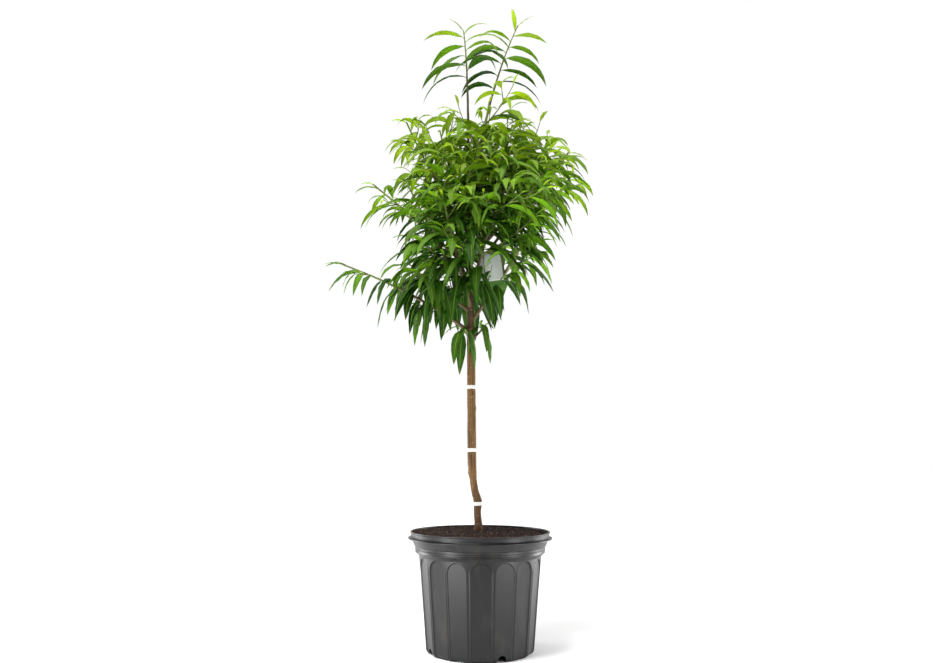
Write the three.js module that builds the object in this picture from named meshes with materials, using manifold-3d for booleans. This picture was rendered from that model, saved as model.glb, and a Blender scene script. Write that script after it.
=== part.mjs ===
// A young dwarf peach tree, grown as a whip with a feathered head, in a round nursery pot.
// Millimetres, +Z up, origin at the centre of the pot's flat underside, front of the tree towards -Y.
import * as THREE from "three";
import { mergeVertices } from "three/addons/utils/BufferGeometryUtils.js";
import Module from "manifold-3d";

const wasm = await Module();
wasm.setup();

// ---------------------------------------------------------------- driving dimensions

const GAP = 0.3; // clearance between neighbouring pieces

// A seven-gallon nursery pot: radii and heights of its outer wall, then its details.
const POT = {
  height: 291,
  wall: 3.5,
  floor: 5,
  footRadius: 122,
  baseRadius: 134.5,
  cornerRadius: 13,
  footShare: 0.75, // of the way out to the base radius in the middle of the rounded foot
  footRise: 0.3, // and of the way up
  shoulderRadius: 153,
  shoulderZ: 232,
  collarRadius: 161.5,
  collarLowZ: 242,
  collarHighZ: 256.5,
  draft: 1.7, // by which the collar's wall leans out
  coneRadius: 171.5, // where the wall flares out to the ring
  ringRadius: 180.5,
  ringLowZ: 273,
  ringHeight: 4.5,
  ringEdge: 1,
  neckRadius: 172.5, // just above the ring
  lipRadius: 175,
  lipEdge: 1,
  lipWidth: 2.5,
  step: 2, // by which the inner wall's corners lie off the outer ones
  sides: 32,
};
const FLUTES = { count: 16, ribWidth: 7.5, depth: 1.8, footZ: 14.5, topZ: 230, archSteps: 5 };
const DRAINS = { count: 4, firstAzimuth: -67.5, width: 21, topZ: 12.5, reach: 22, archSteps: 6 };
const CUTTER = { beyond: 1, outside: 5, block: 100 }; // by which cutters pass what they cut
// The potting mix is a low mound: heights of its edge, its shelf and its crown.
const SOIL = {
  edgeZ: 287.5,
  shelfZ: 289,
  shelfShare: 0.82,
  moundZ: 291,
  moundShare: 0.4,
  crownZ: 292,
  crownRadius: 24,
};

// The stem: stations from the soil up, as x, y, z of its axis and its radius there.
const TRUNK = {
  sides: 10,
  steps: 22,
  chainSteps: 24,
  widest: 11.2, // above its flare
  stations: [
    { x: -4, y: 0, z: 292.3, radius: 12 },
    { x: -5, y: 0, z: 312, radius: 9.2 },
    { x: -7, y: 0, z: 338, radius: 8.9 },
    { x: -6, y: 1, z: 364, radius: 11 },
    { x: -13, y: 3, z: 388, radius: 9.7 },
    { x: -18, y: 4, z: 420, radius: 8.8 },
    { x: -21, y: 3, z: 470, radius: 11.2 },
    { x: -22, y: 0, z: 570, radius: 11 },
    { x: -24, y: -2, z: 720, radius: 10.4 },
    { x: -26, y: -2, z: 850, radius: 9.6 },
    { x: -30, y: 0, z: 985, radius: 8.4 },
    { x: -34, y: 0, z: 1122, radius: 7.2 },
  ],
};
const TIES = { heights: [358, 492, 652], width: 9, thickness: 1.4 };
const TAG = {
  width: 58,
  height: 96,
  thickness: 1,
  neckWidth: 12,
  neckThickness: 1.6,
  overlap: 3, // of the neck on the card
  ringZ: 1014,
  ringHeight: 9,
  ringThickness: 1.2,
  cardCentre: { x: 28, y: -24, z: 945 },
  lean: -8,
  columns: 3, // upright strips that stand for the card where leaves look for room
};

// Limbs: each leaves the trunk at height `from` towards `azimuth` (degrees, 0 = +X, 90 = +Y), and its tip
// lies `out` and `rise` away. `spread` above 0 sets off outwards and then turns up; below 0 it arches over.
// `bare` is the share of its length below its foliage, `base` and `tip` are its radii.
// `twigs`, `twigLength`, `leaf` (length), `turn` (degrees, where the spiral of leaves begins), `spiral`
// and `spacing` (degrees and millimetres from leaf to leaf, where they aren't the usual ones), `ahead` (how
// far the foliage's own space is set towards the front) and `seed` describe the foliage that it carries.
const LIMBS = [
  { name: "leader_left", from: 1104, azimuth: 168, out: 14, rise: 516, spread: -1.6, bare: 0.56,
    base: 5, tip: 1.8, twigs: 0, twigLength: 60, leaf: 155, turn: 80, spiral: 183, spacing: 21,
    ahead: 46, seed: 23 },
  { name: "leader_right", from: 1100, azimuth: -8, out: 134, rise: 524, spread: -0.3, bare: 0.53,
    base: 5, tip: 1.8, twigs: 0, twigLength: 60, leaf: 145, turn: 63, spiral: 183, spacing: 21,
    ahead: -46, seed: 632 },
  { name: "shoot_centre_front", from: 1088, azimuth: -61, out: 111, rise: 292, spread: 0.1, bare: 0.13,
    base: 4.4, tip: 2, twigs: 6, twigLength: 153, leaf: 130, turn: 119, seed: 663 },
  { name: "shoot_centre_back", from: 1076, azimuth: 120, out: 162, rise: 313, spread: 0.1, bare: 0.14,
    base: 4.6, tip: 2, twigs: 7, twigLength: 147, leaf: 145, turn: 141, seed: 420 },
  { name: "bough_upper_left", from: 1056, azimuth: 183, out: 166, rise: 300, spread: 0.1, bare: 0.15,
    base: 4.8, tip: 2, twigs: 7, twigLength: 95, leaf: 142, turn: 165, seed: 409 },
  { name: "bough_upper_right", from: 1036, azimuth: 16, out: 187, rise: 295, spread: 0.1, bare: 0.15,
    base: 5, tip: 2, twigs: 10, twigLength: 182, leaf: 149, turn: 158, seed: 354 },
  { name: "bough_right", from: 984, azimuth: -6, out: 262, rise: 284, spread: 0, bare: 0.15,
    base: 5.2, tip: 2, twigs: 6, twigLength: 144, leaf: 135, turn: 3, seed: 486 },
  { name: "bough_left", from: 960, azimuth: 177, out: 258, rise: 232, spread: -0.05, bare: 0.2,
    base: 5.2, tip: 2, twigs: 3, twigLength: 70, leaf: 118, turn: 245, seed: 515 },
  { name: "bough_back_right", from: 938, azimuth: 41, out: 240, rise: 303, spread: 0.05, bare: 0.15,
    base: 5.2, tip: 2, twigs: 4, twigLength: 162, leaf: 175, turn: 100, seed: 755 },
  { name: "bough_back_left", from: 918, azimuth: 112, out: 240, rise: 271, spread: 0.05, bare: 0.15,
    base: 5.2, tip: 2, twigs: 8, twigLength: 139, leaf: 142, turn: 39, seed: 888 },
  { name: "bough_front_right", from: 898, azimuth: -59, out: 189, rise: 329, spread: 0.05, bare: 0.15,
    base: 5.2, tip: 2, twigs: 9, twigLength: 175, leaf: 144, turn: 273, seed: 560 },
  { name: "bough_front_left", from: 876, azimuth: 215, out: 195, rise: 280, spread: 0.05, bare: 0.15,
    base: 5.2, tip: 2, twigs: 7, twigLength: 107, leaf: 130, turn: 192, seed: 709 },
  { name: "bough_front", from: 858, azimuth: -109, out: 211, rise: 241, spread: 0.05, bare: 0.15,
    base: 5.2, tip: 2, twigs: 6, twigLength: 123, leaf: 162, turn: 36, seed: 776 },
  { name: "spur_centre_front", from: 1040, azimuth: -82, out: 122, rise: 78, spread: 0.1, bare: 0.2,
    base: 4, tip: 2, twigs: 8, twigLength: 208, leaf: 130, turn: 4, seed: 747 },
  { name: "spur_centre_back", from: 864, azimuth: 92, out: 132, rise: 104, spread: 0.1, bare: 0.2,
    base: 4, tip: 2, twigs: 6, twigLength: 89, leaf: 141, turn: 265, seed: 750 },
  { name: "spur_low_left", from: 848, azimuth: 197, out: 116, rise: 84, spread: 0.1, bare: 0.2,
    base: 4, tip: 2, twigs: 3, twigLength: 122, leaf: 160, turn: 248, seed: 216 },
  { name: "bough_low_right", from: 818, azimuth: -10, out: 155, rise: 237, spread: 0.05, bare: 0.2,
    base: 5.2, tip: 2, twigs: 7, twigLength: 122, leaf: 124, turn: 238, seed: 790 },
  { name: "bough_low_left", from: 792, azimuth: 186, out: 350, rise: 178, spread: -0.2, bare: 0.2,
    base: 5.4, tip: 1.8, twigs: 3, twigLength: 62, leaf: 122, turn: 144, seed: 244 },
  { name: "spur_low_front", from: 762, azimuth: 249, out: 39, rise: 36, spread: 0.2, bare: 0.44,
    base: 3.4, tip: 1.8, twigs: 1, twigLength: 43, leaf: 150, turn: 104, seed: 588 },
  { name: "spur_low_right", from: 776, azimuth: 5, out: 38, rise: 37, spread: 0.2, bare: 0.44,
    base: 3.4, tip: 1.8, twigs: 1, twigLength: 23, leaf: 115, turn: 221, seed: 264 },
];
const LIMB = {
  sides: 5,
  steps: 3,
  stemSides: 4,
  stemSteps: 5,
  bareSteps: 4, // of the chains of points that stand for a limb where room is looked for
  spaceSteps: 5,
  obstacleSteps: 6,
  stemChainSteps: 8,
};

// Foliage rule, shared by every mass.
const TWIG = {
  sides: 3,
  steps: 2,
  base: 2,
  tip: 1.1,
  first: 0.06, // where twigs begin, as a share of the limb past the stem's foot, and where they end
  last: 0.86,
  shorten: 0.4, // how much shorter the last twig is than the first
  fork: 48, // degrees from the stem
  turnUp: 26, // how far it turns up again along its length
  apart: 26, // between two twigs
  placeLow: 0.3, // where a twig may stand within its share of the stem
  placeHigh: 0.7,
  headTaper: 1.1, // length of the first twig over the mass's twig length
  vigourLow: 0.85, // least and most of a twig's length over what its place gives it
  vigourHigh: 1.15,
  rollSway: 15, // degrees either side of its place round the stem
  tries: 6,
  retryTurn: 62, // round the stem at each new try
  retryCut: 0.1, // of its length at each new try
};
const LEAF = {
  spacing: 25, // along a shoot
  topGap: 0.15, // room above a shoot's last leaf, over the spacing
  first: 0.06, // where leaves begin and end, as shares of a shoot
  last: 0.99,
  youngSizes: [0.45, 0.76, 0.94], // of the last leaves of a shoot, over the size of the rest
  youngFrom: 0.75, // share of a shoot past which leaves are young
  footSize: 1.04, // of the leaves at a shoot's foot and at its head, over the mass's leaf length
  headSize: 0.86,
  vigourLow: 0.9, // least and most of a leaf's length over what its place gives it
  vigourHigh: 1.1,
  turn: 144, // two fifths of a circle from leaf to leaf
  rollSway: 20, // degrees either side of its place in the spiral
  divergence: 50, // between the shoot and a leaf's own start
  youngDivergence: 15, // the same at a shoot's tip
  lowDivergence: 62, // and at the foot of the crown
  start: 32, // degrees above the level that an arching leaf turns its start up to
  lift: 0.55, // and by what share of the way
  end: -72, // degrees above the level at a leaf's tip, high in the crown
  lowEnd: -87, // and at its foot
  endSway: 10,
  youngLift: 44, // how much higher the tip of a shoot's youngest leaf points
  leaderLift: 100, // and of a leader's
  youngHang: 0.5, // share of its hang that the youngest leaf loses
  steepest: -89,
  ease: 1.1, // 1 for an even bend along a leaf, and more for one that is done sooner
  lowEase: 3.4,
  bendSteps: 16,
  tilt: 22, // most that a blade leans to one side
  widthShare: 0.27, // width over length
  keel: 0.042, // depth of the folded blade over length
  tries: 6,
  retryTurn: 47,
  retryCut: 0.16,
  shootTurn: 50, // by which the spiral of each next shoot of a mass is turned
};
const CROWN = { footZ: 810, headZ: 1020 }; // between which leaves go from hanging to arching
const LEAF_STATIONS = [
  { along: 0.27, share: 0.95 },
  { along: 0.62, share: 0.85 },
];
// Where a leaf is tested for room, with its widest share of the half width since the place before.
const LEAF_CHECKS = [
  { along: 0.12, share: 0 },
  { along: 0.3, share: 0.8 },
  { along: 0.5, share: 1 },
  { along: 0.75, share: 0.9 },
  { along: 1, share: 0.55 },
];
// Further places where a leaf's corners are tested against the border of its space.
const LEAF_WAIST = { along: 0.48, share: 0.9 };
const LEAF_HEAD = 0.84;
const GOLDEN_TURN = 137.5;
const SEED_STEP = 7919; // between the random streams of two seeds
const LEAF_CLEARANCE = 11; // between the midribs of two leaves
const LIMB_CLEARANCE = 1.5; // from a leaf to the trunk and to limbs
const SPACE_CLEARANCE = 1.2; // from a leaf to the border of its mass's space

const COLOURS = {
  pot: { color: 0x3a3a3b, roughness: 0.45 },
  soil: { color: 0x3a2418, roughness: 0.95 },
  bark: { color: 0x7c5c36, roughness: 0.85 },
  leaf: { color: 0x4f7f1a, roughness: 0.5 },
  tie: { color: 0xf0efe9, roughness: 0.55 },
  tag: { color: 0xdcdfdc, roughness: 0.5 },
};

// ---------------------------------------------------------------- small tools

const radians = THREE.MathUtils.degToRad;
const lerp = THREE.MathUtils.lerp;

/** A repeatable stream of numbers from 0 to 1. */
function seededNumbers(seed) {
  let state = seed >>> 0;
  return () => {
    state = (Math.imul(state, 1664525) + 1013904223) >>> 0;
    return state / 4294967296;
  };
}

/** The next number of a stream, from low to high. */
function between(random, low, high) {
  return lerp(low, high, random());
}

/** The next number of a stream, up to half either side of nought. */
function swayed(random, half) {
  return half * (2 * random() - 1);
}

/** Turns a closed three.js geometry into a manifold-3d solid that faces outwards. */
function toSolid(geometry) {
  const bare = geometry.clone();
  bare.deleteAttribute("normal");
  bare.deleteAttribute("uv");
  const merged = mergeVertices(bare, 1e-4);
  const corners = merged.index.array;
  const faces = [];
  for (let i = 0; i < corners.length; i += 3) {
    const [a, b, c] = corners.slice(i, i + 3);
    if (a !== b && b !== c && c !== a) faces.push(a, b, c);
  }
  const build = (triVerts) =>
    new wasm.Manifold(
      new wasm.Mesh({
        numProp: 3,
        vertProperties: new Float32Array(merged.attributes.position.array),
        triVerts: new Uint32Array(triVerts),
      }),
    );
  const made = build(faces);
  return made.volume() > 0 ? made : build(faces.reverse());
}

/** Turns a manifold-3d solid back into a three.js geometry, flat-shaded. */
function toGeometry(solid) {
  const mesh = solid.getMesh();
  const geometry = new THREE.BufferGeometry();
  geometry.setAttribute("position", new THREE.BufferAttribute(mesh.vertProperties, 3));
  geometry.setIndex(new THREE.BufferAttribute(mesh.triVerts, 1));
  const flat = geometry.toNonIndexed();
  flat.computeVertexNormals();
  return flat;
}

/** The largest connected body of a solid, without loose scrap. */
function mainBody(solid) {
  return solid.decompose().reduce((best, next) => (next.volume() > best.volume() ? next : best));
}

/** A named mesh of a solid with its own material. */
function piece(name, solid, look) {
  const mesh = new THREE.Mesh(
    toGeometry(solid),
    new THREE.MeshStandardMaterial({ ...look, metalness: 0 }),
  );
  mesh.name = name;
  return mesh;
}

/** Bends a unit lathe, whose Y runs from 0 to 1, along a path: X goes to its side and Z to its normal. */
function bend(lathe, path, sideScale, normalScale) {
  const position = lathe.attributes.position;
  for (let i = 0; i < position.count; i += 1) {
    const along = THREE.MathUtils.clamp(position.getY(i), 0, 1);
    const { side, normal } = path.frameAt(along);
    const point = path
      .getPoint(along)
      .addScaledVector(side, position.getX(i) * sideScale)
      .addScaledVector(normal, position.getZ(i) * normalScale);
    position.setXYZ(i, point.x, point.y, point.z);
  }
  return lathe;
}

/** A closed tube along a path, with a radius for each share of its length. */
function tube(path, radiusAt, sides, steps, start = 0, end = 1) {
  const profile = [new THREE.Vector2(0, start)];
  for (let i = 0; i <= steps; i += 1) {
    const along = lerp(start, end, i / steps);
    profile.push(new THREE.Vector2(radiusAt(along), along));
  }
  profile.push(new THREE.Vector2(0, end));
  return toSolid(bend(new THREE.LatheGeometry(profile, sides), path, 1, 1));
}

// ---------------------------------------------------------------- paths

/** A curve with a side vector and a normal across it. */
class FramedPath extends THREE.Curve {
  constructor(sideDirection) {
    super();
    this.sideDirection = sideDirection;
  }

  frameAt(along) {
    const tangent = this.getTangent(along);
    const side = this.sideDirection.clone().addScaledVector(tangent, -this.sideDirection.dot(tangent));
    side.normalize();
    return { side, normal: new THREE.Vector3().crossVectors(side, tangent) };
  }
}

/** A path in one upright plane that starts at an elevation and turns by `bendAngle` along its length. */
class ArcPath extends FramedPath {
  constructor(start, azimuth, elevation, bendAngle, length) {
    super(new THREE.Vector3(-Math.sin(azimuth), Math.cos(azimuth), 0));
    Object.assign(this, { start, azimuth, elevation, bendAngle, length });
    this.tilt = 0;
  }

  frameAt(along) {
    const { side, normal } = super.frameAt(along);
    const tangent = this.getTangent(along);
    side.applyAxisAngle(tangent, this.tilt);
    normal.applyAxisAngle(tangent, this.tilt);
    return { side, normal };
  }

  getPoint(along) {
    const turned = this.bendAngle * along;
    const middle = this.elevation + turned / 2;
    const half = turned / 2;
    const chord = this.length * along * (Math.abs(half) < 1e-6 ? 1 : Math.sin(half) / half);
    const flat = chord * Math.cos(middle);
    return new THREE.Vector3(
      this.start.x + flat * Math.cos(this.azimuth),
      this.start.y + flat * Math.sin(this.azimuth),
      this.start.z + chord * Math.sin(middle),
    );
  }

  getTangent(along) {
    const elevation = this.elevation + this.bendAngle * along;
    return new THREE.Vector3(
      Math.cos(elevation) * Math.cos(this.azimuth),
      Math.cos(elevation) * Math.sin(this.azimuth),
      Math.sin(elevation),
    );
  }
}

/** A leaf's midrib: it leaves along an arc's start and turns down to `end`, most of all near its foot. */
class LeafPath extends ArcPath {
  constructor(arc, end, ease, tilt) {
    super(arc.start, arc.azimuth, arc.elevation, Math.min(end - arc.elevation, 0), arc.length);
    this.ease = ease;
    this.tilt = tilt;
    this.line = [arc.start.clone()];
    for (let i = 0; i < LEAF.bendSteps; i += 1) {
      const step = this.getTangent((i + 0.5) / LEAF.bendSteps);
      this.line.push(this.line[i].clone().addScaledVector(step, arc.length / LEAF.bendSteps));
    }
  }

  getPoint(along) {
    const place = along * LEAF.bendSteps;
    const below = Math.min(Math.floor(place), LEAF.bendSteps - 1);
    return this.line[below].clone().lerp(this.line[below + 1], place - below);
  }

  getTangent(along) {
    const elevation = this.elevation + this.bendAngle * (1 - (1 - along) ** this.ease);
    return new THREE.Vector3(
      Math.cos(elevation) * Math.cos(this.azimuth),
      Math.cos(elevation) * Math.sin(this.azimuth),
      Math.sin(elevation),
    );
  }
}

/** A limb's axis: a quadratic curve in one upright plane. */
class LimbPath extends FramedPath {
  constructor(start, limb) {
    const azimuth = radians(limb.azimuth);
    super(new THREE.Vector3(-Math.sin(azimuth), Math.cos(azimuth), 0));
    const across = limb.out * (0.5 + limb.spread / 2);
    const up = limb.rise * (0.5 - Math.max(limb.spread, -0.5) / 2);
    const at = (out, rise) =>
      new THREE.Vector3(
        start.x + out * Math.cos(azimuth),
        start.y + out * Math.sin(azimuth),
        start.z + rise,
      );
    this.curve = new THREE.QuadraticBezierCurve3(at(0, 0), at(across, up), at(limb.out, limb.rise));
  }

  getPoint(along) {
    return this.curve.getPoint(along);
  }

  getTangent(along) {
    return this.curve.getTangent(along);
  }
}

/** The trunk's axis, a smooth curve through its stations. */
class TrunkPath extends FramedPath {
  constructor(stations) {
    super(new THREE.Vector3(0, 1, 0));
    this.stations = stations;
    this.curve = new THREE.CatmullRomCurve3(
      stations.map(({ x, y, z }) => new THREE.Vector3(x, y, z)),
      false,
      "catmullrom",
      0.5,
    );
  }

  getPoint(along) {
    return this.curve.getPoint(along);
  }

  radiusAt(along) {
    const place = along * (this.stations.length - 1);
    const below = Math.min(Math.floor(place), this.stations.length - 2);
    return lerp(this.stations[below].radius, this.stations[below + 1].radius, place - below);
  }

  /** The share of the axis that lies at height z. */
  shareAt(z) {
    let low = 0;
    let high = 1;
    for (let i = 0; i < 40; i += 1) {
      const middle = (low + high) / 2;
      if (this.getPoint(middle).z < z) low = middle;
      else high = middle;
    }
    return low;
  }
}

// ---------------------------------------------------------------- pot and soil

/** A lathe about +Z from a profile of [radius, height] points that starts and ends on the axis. */
function turned(profile, sides) {
  const points = profile.map(([radius, z]) => new THREE.Vector2(radius, z));
  const lathe = new THREE.LatheGeometry(points, sides);
  lathe.rotateX(Math.PI / 2);
  return toSolid(lathe);
}

/** The pot body's outer radius at a height between its foot and its shoulder. */
function bodyRadius(z) {
  const share = (z - POT.cornerRadius) / (POT.shoulderZ - POT.cornerRadius);
  return lerp(POT.baseRadius, POT.shoulderRadius, share);
}

/** The outer wall of the pot from the axis of its underside up to the top of its lip. */
function outerProfile() {
  const footMiddle = lerp(POT.footRadius, POT.baseRadius, POT.footShare);
  const ringTop = POT.ringLowZ + POT.ringHeight;
  return [
    [0, 0],
    [POT.footRadius, 0],
    [footMiddle, POT.cornerRadius * POT.footRise],
    [POT.baseRadius, POT.cornerRadius],
    [POT.shoulderRadius, POT.shoulderZ],
    [POT.collarRadius, POT.collarLowZ],
    [POT.collarRadius + POT.draft, POT.collarHighZ],
    [POT.coneRadius, POT.ringLowZ - POT.ringEdge],
    [POT.ringRadius, POT.ringLowZ + POT.ringEdge],
    [POT.ringRadius, ringTop - POT.ringEdge],
    [POT.neckRadius, ringTop + POT.ringEdge],
    [POT.lipRadius, POT.height - POT.lipEdge],
    [POT.lipRadius - POT.lipEdge, POT.height],
  ];
}

/** The inner wall of the pot from its lip down to the axis of its floor. */
function innerProfile() {
  return [
    [POT.lipRadius - POT.lipEdge - POT.lipWidth, POT.height],
    [POT.neckRadius - POT.wall, POT.ringLowZ + POT.ringHeight],
    [POT.collarRadius + POT.draft - POT.wall, POT.collarHighZ],
    [POT.collarRadius - POT.wall, POT.collarLowZ + POT.ringEdge],
    [POT.shoulderRadius - POT.wall, POT.shoulderZ - POT.step],
    [POT.baseRadius - POT.wall, POT.cornerRadius + POT.step],
    [POT.footRadius, POT.floor],
    [0, POT.floor],
  ];
}

/** One flute as an upright arch-topped prism that reaches through the wall at an azimuth. */
function fluteBlade(azimuth) {
  const radius = bodyRadius(FLUTES.topZ);
  const halfWidth = (Math.PI * radius) / FLUTES.count - FLUTES.ribWidth / 2;
  const footHalfWidth = (Math.PI * bodyRadius(FLUTES.footZ)) / FLUTES.count - FLUTES.ribWidth / 2;
  const springZ = FLUTES.topZ - halfWidth;
  const arch = new THREE.Shape();
  arch.moveTo(-footHalfWidth, FLUTES.footZ);
  arch.lineTo(footHalfWidth, FLUTES.footZ);
  for (let i = 0; i <= FLUTES.archSteps; i += 1) {
    const angle = (Math.PI * i) / FLUTES.archSteps;
    arch.lineTo(halfWidth * Math.cos(angle), springZ + halfWidth * Math.sin(angle));
  }
  arch.closePath();
  const blade = new THREE.ExtrudeGeometry(arch, { depth: POT.ringRadius, bevelEnabled: false, steps: 1 });
  blade.rotateX(Math.PI / 2);
  blade.rotateZ(azimuth + Math.PI / 2);
  return toSolid(blade);
}

/** The shell that the flutes are cut to: everything outside the wall less the flutes' depth. */
function fluteShell() {
  const low = FLUTES.footZ - CUTTER.beyond;
  const high = FLUTES.topZ + CUTTER.beyond;
  const outside = POT.ringRadius + CUTTER.outside;
  const profile = [
    [bodyRadius(low) - FLUTES.depth, low],
    [outside, low],
    [outside, high],
    [bodyRadius(high) - FLUTES.depth, high],
    [bodyRadius(low) - FLUTES.depth, low],
  ];
  return turned(profile, POT.sides);
}

/** One drain hole: a round-topped notch through the wall and the rim of the floor. */
function drainCutter(azimuth) {
  const radius = DRAINS.width / 2;
  const notch = new THREE.Shape();
  notch.moveTo(-radius, -CUTTER.beyond);
  notch.lineTo(radius, -CUTTER.beyond);
  notch.lineTo(radius, DRAINS.topZ - radius);
  notch.absarc(0, DRAINS.topZ - radius, radius, 0, Math.PI, false);
  notch.closePath();
  const cutter = new THREE.ExtrudeGeometry(notch, {
    depth: DRAINS.reach * 2,
    bevelEnabled: false,
    curveSegments: DRAINS.archSteps,
  });
  cutter.rotateX(Math.PI / 2);
  cutter.translate(0, -POT.baseRadius + DRAINS.reach, 0);
  cutter.rotateZ(azimuth + Math.PI / 2);
  return toSolid(cutter);
}

function makePot() {
  const shell = turned([...outerProfile(), ...innerProfile()], POT.sides);
  const firstFlute = -Math.PI / 2;
  const flutes = [];
  for (let i = 0; i < FLUTES.count; i += 1) {
    flutes.push(fluteBlade(firstFlute + (2 * Math.PI * i) / FLUTES.count));
  }
  const grooves = flutes.reduce((all, blade) => all.add(blade)).intersect(fluteShell());
  let pot = shell.subtract(grooves);
  for (let i = 0; i < DRAINS.count; i += 1) {
    pot = pot.subtract(drainCutter(radians(DRAINS.firstAzimuth) + (2 * Math.PI * i) / DRAINS.count));
  }
  return pot;
}

/** The potting mix: it fills the pot from just above the floor to a low mound round the stem. */
function makeSoil() {
  const [lip, neck, high, low, shoulder, base, foot] = innerProfile();
  const shrink = ([radius, z]) => [radius - GAP, z];
  const risen = (SOIL.edgeZ - neck[1]) / (lip[1] - neck[1]);
  const edgeRadius = lerp(neck[0], lip[0], risen) - GAP;
  return turned(
    [
      [0, POT.floor + GAP],
      [foot[0] - GAP, POT.floor + GAP],
      shrink(base),
      shrink(shoulder),
      shrink(low),
      shrink(high),
      shrink(neck),
      [edgeRadius, SOIL.edgeZ],
      [edgeRadius * SOIL.shelfShare, SOIL.shelfZ],
      [edgeRadius * SOIL.moundShare, SOIL.moundZ],
      [SOIL.crownRadius, SOIL.crownZ],
      [0, SOIL.crownZ],
    ],
    POT.sides,
  );
}

// ---------------------------------------------------------------- trunk, limbs, ties and tag

const trunkPath = new TrunkPath(TRUNK.stations);

function trunkTube(extra, start = 0, end = 1, steps = TRUNK.steps) {
  return tube(trunkPath, (along) => trunkPath.radiusAt(along) + extra, TRUNK.sides, steps, start, end);
}

/** The trunk, cut level where it meets the soil. */
function makeTrunk() {
  const block = new THREE.BoxGeometry(CUTTER.block, CUTTER.block, CUTTER.block);
  block.translate(0, 0, SOIL.crownZ + GAP - CUTTER.block / 2);
  return trunkTube(0).subtract(toSolid(block));
}

/** A limb with its path and the radius along it. */
function planLimb(limb) {
  const start = trunkPath.getPoint(trunkPath.shareAt(limb.from));
  const path = new LimbPath(start, limb);
  return { ...limb, path, radiusAt: (along) => lerp(limb.base, limb.tip, along) };
}

const limbs = LIMBS.map(planLimb);

/** The bare part of a limb, cut clear of the trunk and of the limbs made before it. */
function makeBough(limb, others) {
  const whole = tube(limb.path, limb.radiusAt, LIMB.sides, LIMB.steps, 0, limb.bare);
  return mainBody(others.reduce((left, other) => left.subtract(other), whole));
}

/** A limb's bare part grown by the gap, to cut what lies beside it. */
function grownBough(limb) {
  const grown = (along) => limb.radiusAt(along) + GAP;
  return tube(limb.path, grown, LIMB.sides, LIMB.steps, 0, limb.bare);
}

/** A thin band round the trunk at a height. */
function makeBand(z, width, thickness) {
  const low = trunkPath.shareAt(z - width / 2);
  const high = trunkPath.shareAt(z + width / 2);
  const band = trunkTube(GAP + thickness, low, high, 1);
  return band.subtract(trunkTube(GAP));
}

/** A point of the hang tag's card, `across` and `up` from its centre. */
function cardPoint(across, up) {
  const { x, y, z } = TAG.cardCentre;
  const lean = radians(TAG.lean);
  return new THREE.Vector3(
    x + across * Math.cos(lean) + up * Math.sin(lean),
    y,
    z - across * Math.sin(lean) + up * Math.cos(lean),
  );
}

/** Where the neck of the hang tag leaves its ring. */
function neckFoot() {
  const share = trunkPath.shareAt(TAG.ringZ);
  const foot = trunkPath.getPoint(share);
  foot.y -= trunkPath.radiusAt(share) + GAP + TAG.ringThickness / 2;
  return foot;
}

/** A blank hang tag: a card on a neck that loops round the trunk. */
function makeTag() {
  const ring = makeBand(TAG.ringZ, TAG.ringHeight, TAG.ringThickness);
  const card = new THREE.BoxGeometry(TAG.width, TAG.thickness, TAG.height);
  card.rotateY(radians(TAG.lean));
  card.translate(TAG.cardCentre.x, TAG.cardCentre.y, TAG.cardCentre.z);
  const foot = neckFoot();
  const head = cardPoint(0, TAG.height / 2 - TAG.overlap);
  const neck = new THREE.BoxGeometry(TAG.neckWidth, TAG.neckThickness, foot.distanceTo(head));
  neck.lookAt(head.clone().sub(foot));
  const middle = foot.clone().lerp(head, 0.5);
  neck.translate(middle.x, middle.y, middle.z);
  return mainBody(ring.add(toSolid(neck)).add(toSolid(card)));
}

// ---------------------------------------------------------------- foliage

/** The shortest distance between two straight stretches. */
function stretchDistance(a0, a1, b0, b1) {
  const u = a1.clone().sub(a0);
  const v = b1.clone().sub(b0);
  const w = a0.clone().sub(b0);
  const uu = u.dot(u);
  const uv = u.dot(v);
  const vv = v.dot(v);
  const uw = u.dot(w);
  const vw = v.dot(w);
  const slant = uu * vv - uv * uv;
  const clamp = THREE.MathUtils.clamp;
  const s = slant > 1e-9 ? clamp((uv * vw - vv * uw) / slant, 0, 1) : 0;
  const t = clamp((uv * s + vw) / vv, 0, 1);
  const sBest = clamp((uv * t - uw) / uu, 0, 1);
  return w.addScaledVector(u, sBest).addScaledVector(v, -t).length();
}

/** Points along a path from one share of it to another. */
function samples(path, steps, start = 0, end = 1) {
  const points = [];
  for (let i = 0; i <= steps; i += 1) points.push(path.getPoint(lerp(start, end, i / steps)));
  return points;
}

/** Whether two chains of points keep a distance, beyond the half widths of the first chain's stretches. */
function apart(chainA, chainB, distance, halfWidths = []) {
  for (let i = 1; i < chainA.length; i += 1) {
    const least = distance + (halfWidths[i - 1] ?? 0);
    for (let j = 1; j < chainB.length; j += 1) {
      if (stretchDistance(chainA[i - 1], chainA[i], chainB[j - 1], chainB[j]) < least) return false;
    }
  }
  return true;
}

/** The distance from a point to a chain of points. */
function chainDistance(point, chain) {
  let nearest = Infinity;
  for (let i = 1; i < chain.length; i += 1) {
    const stretch = new THREE.Line3(chain[i - 1], chain[i]);
    const foot = stretch.closestPointToPoint(point, true, new THREE.Vector3());
    nearest = Math.min(nearest, foot.distanceTo(point));
  }
  return nearest;
}

// Each mass keeps to the space that lies nearer to its own stem than to any other stem, with every stem
// taken as far below itself as its leaves hang on average.
const HANG = -35;
const STEM_CHAINS = limbs.map((limb) => {
  const shift = new THREE.Vector3(0, -(limb.ahead ?? 0), HANG);
  return samples(limb.path, LIMB.spaceSteps, limb.bare, 1).map((point) => point.add(shift));
});

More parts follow.
